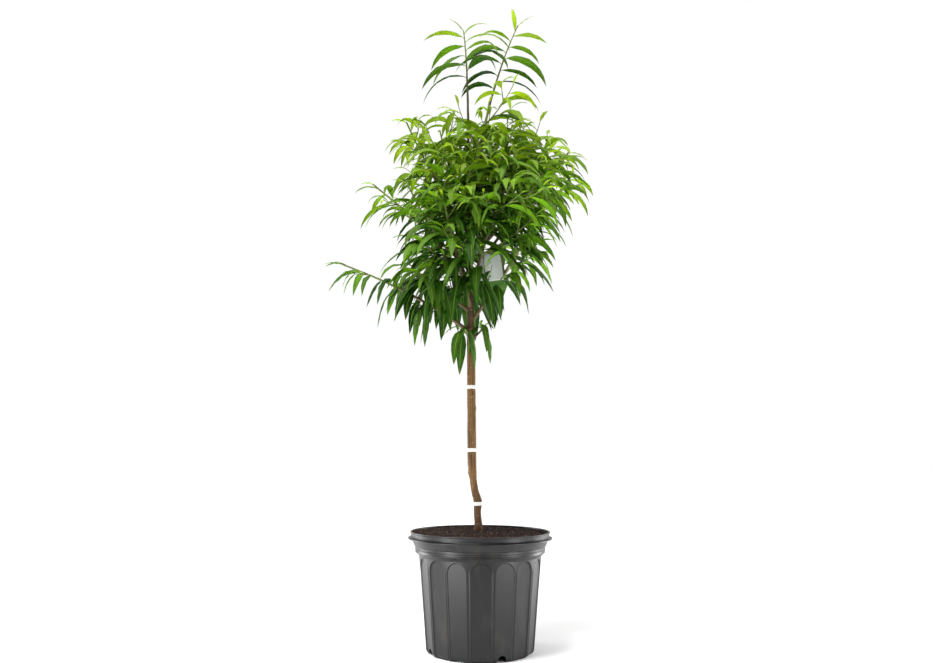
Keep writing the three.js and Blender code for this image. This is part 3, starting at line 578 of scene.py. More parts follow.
class Growth:
    """Grows one limb's stem, twigs, fine twigs and leaves by the seeded rule."""

    def __init__(self, limb: Limb, trunk: TrunkPath, box: Sequence[Vec],
                 rule: GrowthRule = RULE) -> None:
        """Prepares the limb.

        Args:
            limb: The limb's own sizes.
            trunk: The axis of the trunk that it leaves.
            box: The low and the high corner that leaves keep between.
            rule: The rule shared by every mass.
        """
        self.limb, self.box, self.rule = limb, box, rule
        self.random = Numbers(limb.seed * rule.seed_step)
        start, _ = trunk.cut_at(limb.height)
        self.path = LimbPath(start, limb)
        self.shoots: list[Shoot] = []
        self.leaves: list[Leaf] = []

    def grow(self) -> "Growth":
        """Grows the whole limb and returns it."""
        limb = self.limb
        stem = Shoot(self.path, limb.bare, 1.0, 0, limb.base, limb.tip)
        self.shoots.append(stem)
        self.grow_twigs(stem)
        for order, shoot in enumerate(list(self.shoots)):
            self.grow_leaves(shoot, order)
        return self

    def side_shoot(self, parent: Path, along: float, roll: float, angle: float, turn: float,
                   length: float) -> ArcPath:
        """An arc that leaves a shoot at an angle from it.

        Args:
            parent: The shoot's path.
            along: The share of it where the arc starts.
            roll: The arc's place round the shoot, in radians.
            angle: The angle from the shoot, in radians.
            turn: How far the arc turns upwards, in radians.
            length: The arc's length.

        Returns:
            The arc.
        """
        at = np.array([along])
        tangent = parent.tangents(at)[0]
        side, normal = (row[0] for row in parent.frames(at))
        outward = side * math.cos(roll) + normal * math.sin(roll)
        ahead = tangent * math.cos(angle) + outward * math.sin(angle)
        azimuth = math.atan2(ahead[1], ahead[0])
        elevation = math.asin(float(clamp(ahead[2], -1, 1)))
        return ArcPath(parent.points(at)[0], azimuth, elevation, turn, length)

    def grow_twigs(self, stem: Shoot) -> None:
        """Sets twigs on the stem, and fine twigs on the longer ones."""
        limb, rule, random = self.limb, self.rule, self.random
        for i in range(limb.twigs):
            place = (i + rule.twig_place + rule.twig_play * random.next()) / limb.twigs
            along = lerp(stem.start + rule.twig_first, rule.twig_last, place)
            taper = rule.twig_longest - rule.twig_shorten * i / limb.twigs
            length = limb.twig_length * taper * random.between(*rule.twig_lengths)
            roll = math.radians(limb.turn + i * rule.golden_turn + random.sway(rule.twig_roll_sway))
            twig = self.add_twig(stem, along, roll, rule.twig_fork, length, 1)
            self.grow_fine(twig, length)

    def grow_fine(self, twig: Shoot, length: float) -> None:
        """Sets fine twigs alternately on the two sides of a twig."""
        rule, random = self.rule, self.random
        count = int(length // rule.fine_every)
        for i in range(count):
            along = (i + random.between(*rule.fine_places)) / (count + rule.fine_end)
            first, second = (random.sway(half) for half in rule.fine_roll_sways)
            roll = math.radians(first + 180 * (i % 2) + second)
            fine = length * rule.fine_length * random.between(*rule.fine_lengths)
            self.add_twig(twig, along, roll, rule.fine_fork, fine, 2)

    def add_twig(self, parent: Shoot, along: float, roll: float, fork: float, length: float,
                 order: int) -> Shoot:
        """Sets one twig on a shoot and returns it."""
        rule = self.rule
        turn = math.radians(rule.twig_turn_up)
        path = self.side_shoot(parent.path, along, roll, math.radians(fork), turn, length)
        thin = rule.twig_thinning ** (order - 1)
        twig = Shoot(path, 0.0, 1.0, order, rule.twig_base * thin, rule.twig_tip * thin)
        self.shoots.append(twig)
        return twig

    def grow_leaves(self, shoot: Shoot, order: int) -> None:
        """Sets leaves on a shoot, in a spiral from its tip down."""
        limb, rule, random = self.limb, self.rule, self.random
        count = max(rule.least_leaves, round(shoot.span() / limb.spacing))
        for k in range(count):
            share = 1 - (k + rule.leaf_top) / count
            along = lerp(shoot.start, shoot.end, rule.leaf_first + rule.leaf_reach * share)
            young = rule.leaf_young_sizes[k] if k < len(rule.leaf_young_sizes) else 1.0
            size = limb.leaf * young * lerp(rule.leaf_foot_size, rule.leaf_head_size, share)
            size *= random.between(*rule.leaf_sizes)
            roll = limb.turn + rule.leaf_order_turn * order + limb.spiral * k
            roll += random.sway(rule.leaf_roll_sway)
            self.add_leaf(shoot, along, math.radians(roll), size, share, k)

    def add_leaf(self, shoot: Shoot, along: float, roll: float, size: float, share: float,
                 place: int) -> None:
        """Sets one leaf on a shoot.

        Args:
            shoot: The shoot that carries it.
            along: The share of the shoot's path where it starts.
            roll: Its place round the shoot, in radians.
            size: Its length.
            share: Its place between the shoot's foot, 0, and its tip, 1.
            place: How many leaves of the shoot lie above it.
        """
        rule, random = self.rule, self.random
        young = max(0.0, share - rule.young_share) / (1 - rule.young_share)
        foot = shoot.path.points(np.array([along]))[0]
        hang = float(smooth(-foot[2], -rule.hang_head, -rule.hang_foot)) * (1 - rule.young_hang * young)
        grown = lerp(rule.leaf_divergence, rule.leaf_low_divergence, hang)
        angle = lerp(grown, rule.leaf_young_divergence, young) + random.sway(rule.leaf_divergence_sway)
        angle = math.radians(angle)
        arc = self.side_shoot(shoot.path, along, roll, angle, 0.0, size)
        lift = rule.leaf_lift * (1 - hang)
        arc.elevation = lerp(arc.elevation, max(math.radians(rule.leaf_start), arc.elevation), lift)
        rise = rule.leaf_young_lift if self.limb.twigs else rule.leaf_leader_lift
        end = lerp(rule.leaf_end, rule.leaf_low_end, hang) + rise * young
        end = max(end + random.sway(rule.leaf_end_sway), rule.leaf_steepest)
        turn = min(math.radians(end) - arc.elevation, 0.0)
        path = LeafPath(arc, turn, lerp(rule.leaf_ease, rule.leaf_low_ease, hang))
        width = lerp(rule.leaf_width, rule.leaf_low_width, hang) * random.between(*rule.leaf_widths)
        height = float(clamp((foot[2] - rule.crown_foot) / (rule.young_and_lit_head - rule.crown_foot)))
        # The height term is partly real age and partly painted shade: leaves low in the crown get darker
        # greens.
        age = rule.age_by_place * place + rule.age_and_shade_by_height * (1 - height) + random.sway(rule.age_sway)
        leaf = Leaf(
            path=path,
            half_width=size * width / 2,
            tilt=math.radians(random.sway(rule.leaf_tilt)),
            twist=math.radians(random.sway(rule.leaf_twist)),
            fold=math.radians(random.between(*rule.leaf_folds)),
            phase=random.between(0, TURN),
            age=float(clamp(age)),
            tone=random.next(),
        )
        if self.keeps_inside(path):
            self.leaves.append(leaf)

    def keeps_inside(self, path: Path) -> bool:
        """Whether a leaf stays in the box that the tree may fill, and clear of the tag's front."""
        places = path.points(np.array([0.5, 0.75, 1.0]))
        in_box = (places > self.box[0]) & (places < self.box[1])
        in_window = (places > TAG_WINDOW[0]) & (places < TAG_WINDOW[1])
        return bool(in_box.all()) and not in_window.all(axis=1).any()


# ---------------------------------------------------------------- node graphs


@dataclass(frozen=True)
class Noise:
    """A texture: its cells to a metre, its octaves, their strength, and its stretch along the axes."""

    scale: float
    detail: float = 3
    rough: float = 0.55
    stretch: Triple = (1, 1, 1)


def srgb(red: float, green: float, blue: float) -> Triple:
    """A linear colour from one given as 0 to 255 on a screen."""
    parts = [part / 255 for part in (red, green, blue)]
    return tuple(p / 12.92 if p < 0.04045 else ((p + 0.055) / 1.055) ** 2.4 for p in parts)


class Nodes:
    """Adds nodes to a tree and links them."""

    def __init__(self, tree: bpy.types.NodeTree) -> None:
        """Takes the tree.

        Args:
            tree: The node tree that gets the nodes.
        """
        self.tree = tree

    def node(self, kind: str, settings: dict[str, Any] | None = None,
             inputs: dict[str, Any] | None = None) -> Any:
        """Adds a node.

        Args:
            kind: Its type.
            settings: Its own settings, by their names.
            inputs: The values or the links of its sockets, by their identifiers or names.

        Returns:
            The node.
        """
        node = self.tree.nodes.new(kind)
        for key, value in (settings or {}).items():
            setattr(node, key, value)
        for key, value in (inputs or {}).items():
            found = [socket for socket in node.inputs if key in (socket.identifier, socket.name)]
            self.feed(found[0], value)
        return node

    def feed(self, socket: bpy.types.NodeSocket, value: Any) -> None:
        """Links a value or a socket into a socket, or sets it."""
        if isinstance(value, Value):
            self.tree.links.new(value.socket, socket)
        elif isinstance(value, bpy.types.NodeSocket):
            self.tree.links.new(value, socket)
        elif isinstance(value, tuple) and socket.type == "RGBA":
            socket.default_value = (*value, 1.0)
        else:
            socket.default_value = value


class Value:
    """A number in a material's node graph, with the usual arithmetic."""

    def __init__(self, graph: "Graph", socket: bpy.types.NodeSocket) -> None:
        """Wraps a socket.

        Args:
            graph: The material that it belongs to.
            socket: The output that gives the number.
        """
        self.graph, self.socket = graph, socket

    def maths(self, operation: str, *inputs: "Value | float") -> "Value":
        """A Math node over the given inputs, in their order."""
        node = self.graph.node("ShaderNodeMath", {"operation": operation})
        for socket, value in zip(node.inputs, inputs):
            self.graph.feed(socket, value)
        return Value(self.graph, node.outputs[0])

    def __add__(self, other: "Value | float") -> "Value":
        """This and the other."""
        return self.maths("ADD", self, other)

    def __radd__(self, other: float) -> "Value":
        """The other and this."""
        return self.maths("ADD", other, self)

    def __sub__(self, other: "Value | float") -> "Value":
        """This less the other."""
        return self.maths("SUBTRACT", self, other)

    def __rsub__(self, other: float) -> "Value":
        """The other less this."""
        return self.maths("SUBTRACT", other, self)

    def __mul__(self, other: "Value | float") -> "Value":
        """This times the other."""
        return self.maths("MULTIPLY", self, other)

    def __rmul__(self, other: float) -> "Value":
        """The other times this."""
        return self.maths("MULTIPLY", other, self)

    def size(self) -> "Value":
        """This without its sign."""
        return self.maths("ABSOLUTE", self)

    def wave(self) -> "Value":
        """The sine of this."""
        return self.maths("SINE", self)

    def below(self, limit: float) -> "Value":
        """1 where this is below the limit, and 0 elsewhere."""
        return self.maths("LESS_THAN", self, limit)

    def step(self, low: float, high: float) -> "Value":
        """A soft step from 0 where this is low to 1 where it is high."""
        node = self.graph.node("ShaderNodeMapRange", {"interpolation_type": "SMOOTHSTEP"}, {
            "Value": self, "From Min": low, "From Max": high, "To Min": 0.0, "To Max": 1.0})
        return Value(self.graph, node.outputs[0])


class Graph(Nodes):
    """A material under construction."""

    def __init__(self, name: str) -> None:
        """Makes an empty material.

        Args:
            name: The material's name.
        """
        self.material = bpy.data.materials.new(name)
        self.material.use_nodes = True
        super().__init__(self.material.node_tree)
        self.tree.nodes.clear()

    def place(self, stretch: Triple = (1, 1, 1)) -> bpy.types.NodeSocket:
        """The place on the piece, in metres of the object's own axes, times a stretch along each."""
        coordinates = self.node("ShaderNodeTexCoord").outputs["Object"]
        node = self.node("ShaderNodeVectorMath", {"operation": "MULTIPLY"}, {
            "Vector": coordinates, "Vector_001": stretch})
        return node.outputs[0]

    def split(self, vector: bpy.types.NodeSocket) -> tuple[Value, Value, Value]:
        """The three parts of a vector."""
        node = self.node("ShaderNodeSeparateXYZ", inputs={"Vector": vector})
        return tuple(Value(self, node.outputs[i]) for i in range(3))

    def map_place(self) -> tuple[Value, Value]:
        """The two parts of the piece's own UV."""
        across, along, _ = self.split(self.node("ShaderNodeTexCoord").outputs["UV"])
        return across, along

    def attribute(self, name: str) -> Value:
        """A number that the mesh carries."""
        return Value(self, self.node("ShaderNodeAttribute", {"attribute_name": name}).outputs["Fac"])

    def noise(self, texture: Noise) -> Value:
        """Cloudy noise from 0 to 1."""
        node = self.node("ShaderNodeTexNoise", None, {
            "Vector": self.place(texture.stretch), "Scale": texture.scale,
            "Detail": texture.detail, "Roughness": texture.rough})
        return Value(self, node.outputs["Fac"])

    def cells(self, texture: Noise) -> Value:
        """The distance to the nearest of many scattered points."""
        node = self.node("ShaderNodeTexVoronoi", None, {
            "Vector": self.place(texture.stretch), "Scale": texture.scale})
        return Value(self, node.outputs["Distance"])

    def mix(self, share: Value | float, first: Any, second: Any) -> Any:
        """A colour that goes from the first to the second."""
        node = self.node("ShaderNodeMix", {"data_type": "RGBA"}, {
            "Factor_Float": share, "A_Color": first, "B_Color": second})
        return next(s for s in node.outputs if s.identifier == "Result_Color")

    def shaded(self, colour: Any, amount: Value) -> Any:
        """A colour made darker or lighter by a number near 1."""
        node = self.node("ShaderNodeVectorMath", {"operation": "SCALE"}, {
            "Vector": colour, "Scale": amount})
        return node.outputs[0]

    def bump(self, height: Value, depth: float, strength: float) -> bpy.types.NodeSocket:
        """A normal that follows a height, which is from 0 to 1 over a depth in metres."""
        node = self.node("ShaderNodeBump", None, {
            "Height": height, "Distance": depth, "Strength": strength})
        return node.outputs["Normal"]

    def finish(self, colour: Any, roughness: Any, normal: Any = None, **constants: Any) -> None:
        """Closes the graph with one surface.

        Args:
            colour: The base colour.
            roughness: The roughness.
            normal: The normal, or None for the mesh's own.
            constants: Further settings of the surface, as its socket names with underscores.
        """
        surface = self.node("ShaderNodeBsdfPrincipled", None, {
            "Base Color": colour, "Roughness": roughness})
        if normal is not None:
            self.feed(surface.inputs["Normal"], normal)
        for key, value in constants.items():
            surface.inputs[key.replace("_", " ")].default_value = value
        self.node("ShaderNodeOutputMaterial", None, {"Surface": surface.outputs[0]})


# ---------------------------------------------------------------- finishes


@dataclass(frozen=True)
class Finish:
    """A surface that can be turned into a material.

    In the finishes a span is where a soft step starts and ends. `depth` is how deep the relief is in
    metres, `strength` how much of it shows, and `rough_play` what the roughness gains where its noise
    is highest. The colour is shaded from `darkest` up by the noise times its play.
    """

    def material(self, name: str) -> bpy.types.Material:
        """Makes the material under a name."""
        graph = Graph(name)
        self.paint(graph)
        return graph.material

    def paint(self, graph: Graph) -> None:
        """Adds the surface to an empty material."""
        raise NotImplementedError


@dataclass(frozen=True)
class LeafFinish(Finish):
    """A leaf's face: three colours of age, with the old green also used as painted shade on low leaves, a
    pale midrib and side veins, and a waxy shine.
    """

    young: Triple = srgb(178, 210, 28)
    grown: Triple = srgb(108, 164, 10)
    # The old green also serves as painted shade on leaves low in the crown.
    old: Triple = srgb(20, 68, 0)
    rib: Triple = srgb(150, 184, 60)
    growing: Span = (0.0, 0.55)
    ageing: Span = (0.4, 1.0)
    rib_span: Span = (0.05, 0.13)
    rib_share: float = 0.42
    rib_rough: float = 0.06
    rib_depth: float = 0.8
    vein_span: Span = (0.62, 0.98)
    vein_fade: Span = (0.8, 1.0)
    vein_share: float = 0.08
    vein_count: float = 19
    vein_slant: float = 2.4
    vein_depth: float = 0.5
    cloud: Noise = Noise(60, 4)
    grain: Noise = Noise(400, 2)
    grain_depth: float = 0.25
    tone_play: float = 0.4
    cloud_play: float = 0.34
    darkest: float = 0.72
    roughness: float = 0.46
    rough_play: float = 0.16
    shine: float = 0.14
    depth: float = 0.0003
    strength: float = 0.5

    def paint(self, graph: Graph) -> None:
        """Adds the surface to an empty material."""
        across, along = graph.map_place()
        age, tone = graph.attribute("age"), graph.attribute("tone")
        cloud = graph.noise(self.cloud) - 0.5
        # The age number also carries painted shade, so leaves low in the crown are mixed towards the old
        # green.
        colour = graph.mix(age.step(*self.growing), self.young, self.grown)
        colour = graph.mix(age.step(*self.ageing), colour, self.old)
        colour = graph.shaded(colour, self.darkest + self.tone_play * tone + self.cloud_play * cloud)
        side = (across - 0.5).size() * 2
        slant = along * self.vein_count - side * self.vein_slant
        vein = (slant * TURN).wave().step(*self.vein_span) * (1 - side.step(*self.vein_fade))
        rib = 1 - side.step(*self.rib_span)
        colour = graph.mix(vein * self.vein_share, colour, self.rib)
        colour = graph.mix(rib * self.rib_share, colour, self.rib)
        height = vein * -self.vein_depth + rib * -self.rib_depth + graph.noise(self.grain) * self.grain_depth
        rough = self.roughness + self.rough_play * cloud + self.rib_rough * rib
        normal = graph.bump(height, self.depth, self.strength)
        graph.finish(colour, rough, normal, Specular_IOR_Level=self.shine)


@dataclass(frozen=True)
class BarkFinish(Finish):
    """The trunk's bark: a low and a high brown that change up the stem, a painted shade where it runs into
    the crown, dark streaks and pale pores.
    """

    low: Triple = srgb(86, 58, 26)
    high: Triple = srgb(110, 78, 34)
    # Painted shade of the crown on the trunk's upper part.
    shade: Triple = srgb(70, 54, 30)
    stripe: Triple = srgb(58, 34, 8)
    pore: Triple = srgb(160, 134, 92)
    change_height: float = 0.385
    change_half: float = 0.02
    painted_crown_shade_span: Span = (0.68, 0.88)
    edge: Noise = Noise(34, 4)
    streak: Noise = Noise(190, 4, 0.6, (1, 1, 0.07))
    streak_span: Span = (0.42, 0.66)
    streak_depth: float = 0.5
    stripe_share: float = 0.8
    pores: Noise = Noise(95, stretch=(0.5, 0.5, 1.7))
    pore_span: Span = (0.1, 0.26)
    pore_depth: float = 0.3
    pore_share: float = 0.5
    grain: Noise = Noise(900, stretch=(1, 1, 0.3))
    grain_depth: float = 0.3
    grain_play: float = 0.36
    darkest: float = 0.82
    roughness: float = 0.62
    rough_play: float = 0.3
    depth: float = 0.0012
    strength: float = 0.9

    def paint(self, graph: Graph) -> None:
        """Adds the surface to an empty material."""
        height = graph.split(graph.place())[2]
        uneven = height + self.change_half * (graph.noise(self.edge) - 0.5)
        rise = uneven.step(self.change_height - self.change_half, self.change_height + self.change_half)
        colour = graph.mix(rise, self.low, self.high)
        # Painted shade: the trunk darkens where it runs up into the crown.
        colour = graph.mix(height.step(*self.painted_crown_shade_span), colour, self.shade)
        streak = graph.noise(self.streak)
        colour = graph.mix(streak.step(*self.streak_span) * self.stripe_share, colour, self.stripe)
        pores = 1 - graph.cells(self.pores).step(*self.pore_span)
        colour = graph.mix(pores * self.pore_share, colour, self.pore)
        grain = graph.noise(self.grain)
        colour = graph.shaded(colour, self.darkest + self.grain_play * grain)
        height = streak * self.streak_depth + grain * self.grain_depth + pores * self.pore_depth
        normal = graph.bump(height, self.depth, self.strength)
        graph.finish(colour, self.roughness + self.rough_play * grain, normal)


@dataclass(frozen=True)
class TwigFinish(Finish):
    """Limbs and twigs: brown wood, then green with a brown flush towards the tips."""

    wood: Triple = srgb(88, 72, 42)
    flush: Triple = srgb(98, 72, 46)
    green: Triple = srgb(122, 146, 62)
    cloud: Noise = Noise(70)
    cloud_play: float = 0.2
    ripening: Span = (0.25, 0.8)
    patches: Noise = Noise(28, 2)
    flush_span: Span = (0.45, 0.65)
    flush_share: float = 0.7
    grain: Noise = Noise(800, stretch=(1, 1, 0.4))
    grain_play: float = 0.44
    darkest: float = 0.78
    roughness: float = 0.5
    rough_play: float = 0.2
    depth: float = 0.0006
    strength: float = 0.6

    def paint(self, graph: Graph) -> None:
        """Adds the surface to an empty material."""
        age = graph.attribute("age")
        ripe = (age + self.cloud_play * (graph.noise(self.cloud) - 0.5)).step(*self.ripening)
        colour = graph.mix(ripe, self.green, self.wood)
        flush = graph.noise(self.patches).step(*self.flush_span)
        colour = graph.mix(flush * (1 - age) * self.flush_share, colour, self.flush)
        grain = graph.noise(self.grain)
        colour = graph.shaded(colour, self.darkest + self.grain_play * grain)
        normal = graph.bump(grain, self.depth, self.strength)
        graph.finish(colour, self.roughness + self.rough_play * grain, normal)


@dataclass(frozen=True)
class PlasticFinish(Finish):
    """Moulded plastic with a faint grain, scuffs and dust."""

    base: Triple = srgb(11, 11, 12)
    dust: Triple = srgb(112, 106, 98)
    cloud: Noise = Noise(16, 5)
    drift: Noise = Noise(46, 4, 0.6, (1, 1, 0.22))
    dust_span: Span = (0.5, 0.72)
    dust_share: float = 0.12
    grain: Noise = Noise(1400, 2)
    grain_play: float = 0.16
    darkest: float = 0.92
    roughness: float = 0.38
    rough_play: float = 0.12
    shine: float = 0.42
    depth: float = 0.00012
    strength: float = 0.7

    def paint(self, graph: Graph) -> None:
        """Adds the surface to an empty material."""
        cloud, grain = graph.noise(self.cloud), graph.noise(self.grain)
        dust = (cloud * 0.5 + graph.noise(self.drift) * 0.5).step(*self.dust_span)
        colour = graph.mix(dust * self.dust_share, self.base, self.dust)
        colour = graph.shaded(colour, self.darkest + self.grain_play * grain)
        rough = self.roughness + self.rough_play * (cloud - 0.5) + self.rough_play * dust
        normal = graph.bump(grain, self.depth, self.strength)
        graph.finish(colour, rough, normal, Specular_IOR_Level=self.shine)


@dataclass(frozen=True)
class CrumbFinish(Finish):
    """Potting mix: dark bark and peat, with paler pieces dealt out crumb by crumb."""

    dark: Triple = srgb(34, 17, 10)
    middle: Triple = srgb(56, 32, 20)
    pale: Triple = srgb(128, 100, 72)
    middle_play: float = 0.5
    middle_span: Span = (0.2, 0.7)
    pale_play: float = 0.2
    pale_span: Span = (0.86, 1.0)
    pale_share: float = 0.7
    cloud: Noise = Noise(130, 5, 0.65)
    cloud_play: float = 0.8
    grain: Noise = Noise(1500)
    darkest: float = 0.6
    roughness: float = 0.85
    rough_play: float = 0.1
    depth: float = 0.0015
    strength: float = 0.9

    def paint(self, graph: Graph) -> None:
        """Adds the surface to an empty material."""
        tone = graph.attribute("tone")
        cloud, grain = graph.noise(self.cloud), graph.noise(self.grain)
        middle = (tone + self.middle_play * (cloud - 0.5)).step(*self.middle_span)
        colour = graph.mix(middle, self.dark, self.middle)
        pale = (tone + self.pale_play * (cloud - 0.5)).step(*self.pale_span)
        colour = graph.mix(pale * self.pale_share, colour, self.pale)
        colour = graph.shaded(colour, self.darkest + self.cloud_play * cloud)
        normal = graph.bump(grain + cloud, self.depth, self.strength)
        graph.finish(colour, self.roughness + self.rough_play * grain, normal)


@dataclass(frozen=True)
class CardFinish(Finish):
    """A card without print: pale, with a plain band at its foot and a line along the band's top."""

    ground: Triple = srgb(206, 212, 208)
    band: Triple = srgb(84, 130, 52)
    line: Triple = srgb(236, 240, 234)
    band_share: float = 0.3
    band_edge: float = 0.012
    line_half: float = 0.016
    cloud: Noise = Noise(90)
    cloud_play: float = 0.16
    darkest: float = 0.92
    roughness: float = 0.34
    rough_play: float = 0.16
    depth: float = 0.0003
    strength: float = 0.4

    def paint(self, graph: Graph) -> None:
        """Adds the surface to an empty material."""
        _, along = graph.map_place()
        cloud = graph.noise(self.cloud)
        band = 1 - along.step(self.band_share, self.band_share + self.band_edge)
        colour = graph.mix(band, self.ground, self.band)
        colour = graph.mix((along - self.band_share).size().below(self.line_half), colour, self.line)
        colour = graph.shaded(colour, self.darkest + self.cloud_play * cloud)
        normal = graph.bump(cloud, self.depth, self.strength)
        graph.finish(colour, self.roughness + self.rough_play * cloud, normal)


@dataclass(frozen=True)
class TapeFinish(Finish):
    """Soft pale tape with fine stretch lines."""

    base: Triple = srgb(236, 236, 230)
    shade: Triple = srgb(186, 186, 176)
    lines: Noise = Noise(900, stretch=(0.2, 0.2, 1))
    line_span: Span = (0.4, 0.75)
    line_share: float = 0.5
    cloud: Noise = Noise(120)
    cloud_share: float = 0.2
    roughness: float = 0.42
    rough_play: float = 0.2
    depth: float = 0.0004
    strength: float = 0.5

    def paint(self, graph: Graph) -> None:
        """Adds the surface to an empty material."""
        lines, cloud = graph.noise(self.lines), graph.noise(self.cloud)
        shade = lines.step(*self.line_span) * self.line_share + self.cloud_share * cloud
        colour = graph.mix(shade, self.base, self.shade)
        normal = graph.bump(lines, self.depth, self.strength)
        graph.finish(colour, self.roughness + self.rough_play * cloud, normal)


@dataclass(frozen=True)
class FloorFinish(Finish):
    """A plain pale floor with a faint glow of its own."""

    base: Triple = (0.96, 0.96, 0.96)
    glow: float = 0.05
    cloud: Noise = Noise(3, 2)
    cloud_play: float = 0.02
    darkest: float = 0.99
    roughness: float = 0.7
    rough_play: float = 0.1

    def paint(self, graph: Graph) -> None:
        """Adds the surface to an empty material."""
        cloud = graph.noise(self.cloud)
        colour = graph.shaded(self.base, self.darkest + self.cloud_play * cloud)
        graph.finish(colour, self.roughness + self.rough_play * cloud,
                     Emission_Color=(1.0, 1.0, 1.0, 1.0), Emission_Strength=self.glow)


# ---------------------------------------------------------------- meshes


def placed(name: str, data: bpy.types.ID) -> bpy.types.Object:
    """A new object of the scene that shows the data."""
    made = bpy.data.objects.new(name, data)
    bpy.context.scene.collection.objects.link(made)
    return made


def baked(made: bpy.types.Object) -> bpy.types.Mesh:
    """The mesh that an object's modifiers give."""
    graph = bpy.context.evaluated_depsgraph_get()
    return bpy.data.meshes.new_from_object(made.evaluated_get(graph), depsgraph=graph)


class Piece:
    """Gathers points and faces in millimetres and turns them into one object."""

    def __init__(self, name: str) -> None:
        """Starts an empty piece.

        Args:
            name: The object's name.
        """
        self.name = name
        self.points: list[Vec] = []
        self.faces: list[Vec] = []
        self.slots: list[Vec] = []
        self.maps: list[Vec] = []
        self.numbers: dict[str, list[Vec]] = {}
        self.count = 0

    def add(self, points: Vec, faces: Sequence[Vec], slots: Sequence[int] | None = None,
            uv: Vec | None = None, **numbers: Vec | float) -> None:
        """Adds a shape.

        Args:
            points: Its points, one row each.
            faces: Arrays of faces, each with as many columns as its faces have corners.
            slots: The place of each array's material, or None for the first.
            uv: The map place of each point, or None for nought.
            numbers: Named numbers that the points carry.
        """
        uv = np.zeros((len(points), 2)) if uv is None else uv
        for rows, slot in zip(faces, slots or [0] * len(faces)):
            rows = np.asarray(rows, int)
            self.faces.append(rows + self.count)
            self.slots.append(np.full(len(rows), slot))
            self.maps.append(uv[rows].reshape(-1, 2))
        for key, value in numbers.items():
            self.numbers.setdefault(key, []).append(np.broadcast_to(value, len(points)))
        self.points.append(points)
        self.count += len(points)

    def build(self, materials: Sequence[bpy.types.Material], sharp: float = 40,
              smoothed: bool = True) -> bpy.types.Object:
        """Makes the object.

        Args:
            materials: Its materials, in the order of their slots.
            sharp: The angle in degrees over which an edge is sharp.
            smoothed: Whether its faces are shaded smooth.

        Returns:
            The object, at the origin.
        """
        mesh = bpy.data.meshes.new(self.name)
        rows = [row for group in self.faces for row in group.tolist()]
        mesh.from_pydata((np.vstack(self.points) * MM).tolist(), [], rows)
        mesh.polygons.foreach_set("material_index", np.concatenate(self.slots).astype(np.int32))
        mesh.polygons.foreach_set("use_smooth", np.full(len(rows), smoothed))
        layer = mesh.uv_layers.new(name="place")
        layer.data.foreach_set("uv", np.vstack(self.maps).ravel().astype(np.float32))
        for key, values in self.numbers.items():
            attribute = mesh.attributes.new(key, "FLOAT", "POINT")
            attribute.data.foreach_set("value", np.concatenate(values).astype(np.float32))
        if smoothed:
            mesh.set_sharp_from_angle(angle=math.radians(sharp))
        for material in materials:
            mesh.materials.append(material)
        mesh.update()
        LOG.info("%s: %d faces", self.name, len(rows))
        return placed(self.name, mesh)


def ring_faces(rings: int, sides: int, closed: bool = True, wrapped: bool = False) -> Vec:
    """The four-cornered faces between rings of points.

    Args:
        rings: How many rings there are.
        sides: How many points a ring has.
        closed: Whether each ring's last point joins its first.
        wrapped: Whether the last ring joins the first.

    Returns:
        One row of four corners for each face.
    """
    ring = np.arange(rings if wrapped else rings - 1)[:, None]
    side = np.arange(sides if closed else sides - 1)[None, :]
    above, after = (ring + 1) % rings, (side + 1) % sides
    corners = [ring * sides + side, ring * sides + after, above * sides + after, above * sides + side]
    return np.stack(corners, -1).reshape(-1, 4)


def fan_faces(hub: int, first: int, sides: int, flipped: bool) -> Vec:
    """The three-cornered faces that close a ring round one point."""
    side = np.arange(sides)
    rows = np.stack([np.full(sides, hub), first + side, first + (side + 1) % sides], -1)
    return rows[:, [0, 2, 1]] if flipped else rows


def capped_faces(rings: int, sides: int) -> list[Vec]:
    """The faces of a stack of rings that is closed by two last points: at its foot and at its head."""
    hub = rings * sides
    return [
        ring_faces(rings, sides),
        fan_faces(hub, 0, sides, True),
        fan_faces(hub + 1, hub - sides, sides, False),
    ]


def strip(middle: Vec, first: Vec, second: Vec, half: float, thick: float) -> tuple[Vec, list[Vec]]:
    """A closed flat strip along a row of points.

    Args:
        middle: The points of its middle line, one row each.
        first: One direction across it.
        second: The other direction across it.
        half: Half its size along the first.
        thick: Half its size along the second.

    Returns:
        Its points and its faces.
    """
    corners = [(-half, -thick), (half, -thick), (half, thick), (-half, thick)]
    rings = np.stack([middle + first * a + second * b for a, b in corners], 1)
    ends = [np.array([[3, 2, 1, 0]]), np.array([[0, 1, 2, 3]]) + (len(middle) - 1) * 4]
    return rings.reshape(-1, 3), [ring_faces(len(middle), 4)] + ends


def swept(path: Path, along: Vec, radii: Vec, sides: int,
          relief: Callable[[Vec, Vec, Vec], Vec], dome: float = 0.6) -> tuple[Vec, list[Vec], Vec]:
    """A closed round limb along a path.

    Args:
        path: Its axis.
        along: The shares of the axis where its rings lie.
        radii: The radius at each ring.
        sides: How many points a ring has.
        relief: Gives what the radius gains, from points, angles round the axis and shares along it.
        dome: How far its end stands out, as a share of the last radius.

    Returns:
        Its points, its faces, and the share of the axis of each point.
    """
    centres, (side, normal) = path.points(along), path.frames(along)
    angle = -round_angles(sides)
    outward = side[:, None] * np.cos(angle)[None, :, None] + normal[:, None] * np.sin(angle)[None, :, None]
    shares = np.repeat(along, sides)
    flat = (centres[:, None] + outward * radii[:, None, None]).reshape(-1, 3)
    gain = relief(flat, np.tile(angle, len(along)), shares).reshape(len(along), sides)
    skin = (centres[:, None] + outward * (radii[:, None] + gain)[..., None]).reshape(-1, 3)
    end = centres[-1:] + path.tangents(along[-1:]) * radii[-1] * dome
    points = np.vstack([skin, centres[:1], end])
    return points, capped_faces(len(along), sides), np.concatenate([shares, along[:1], along[-1:]])


# ---------------------------------------------------------------- foliage


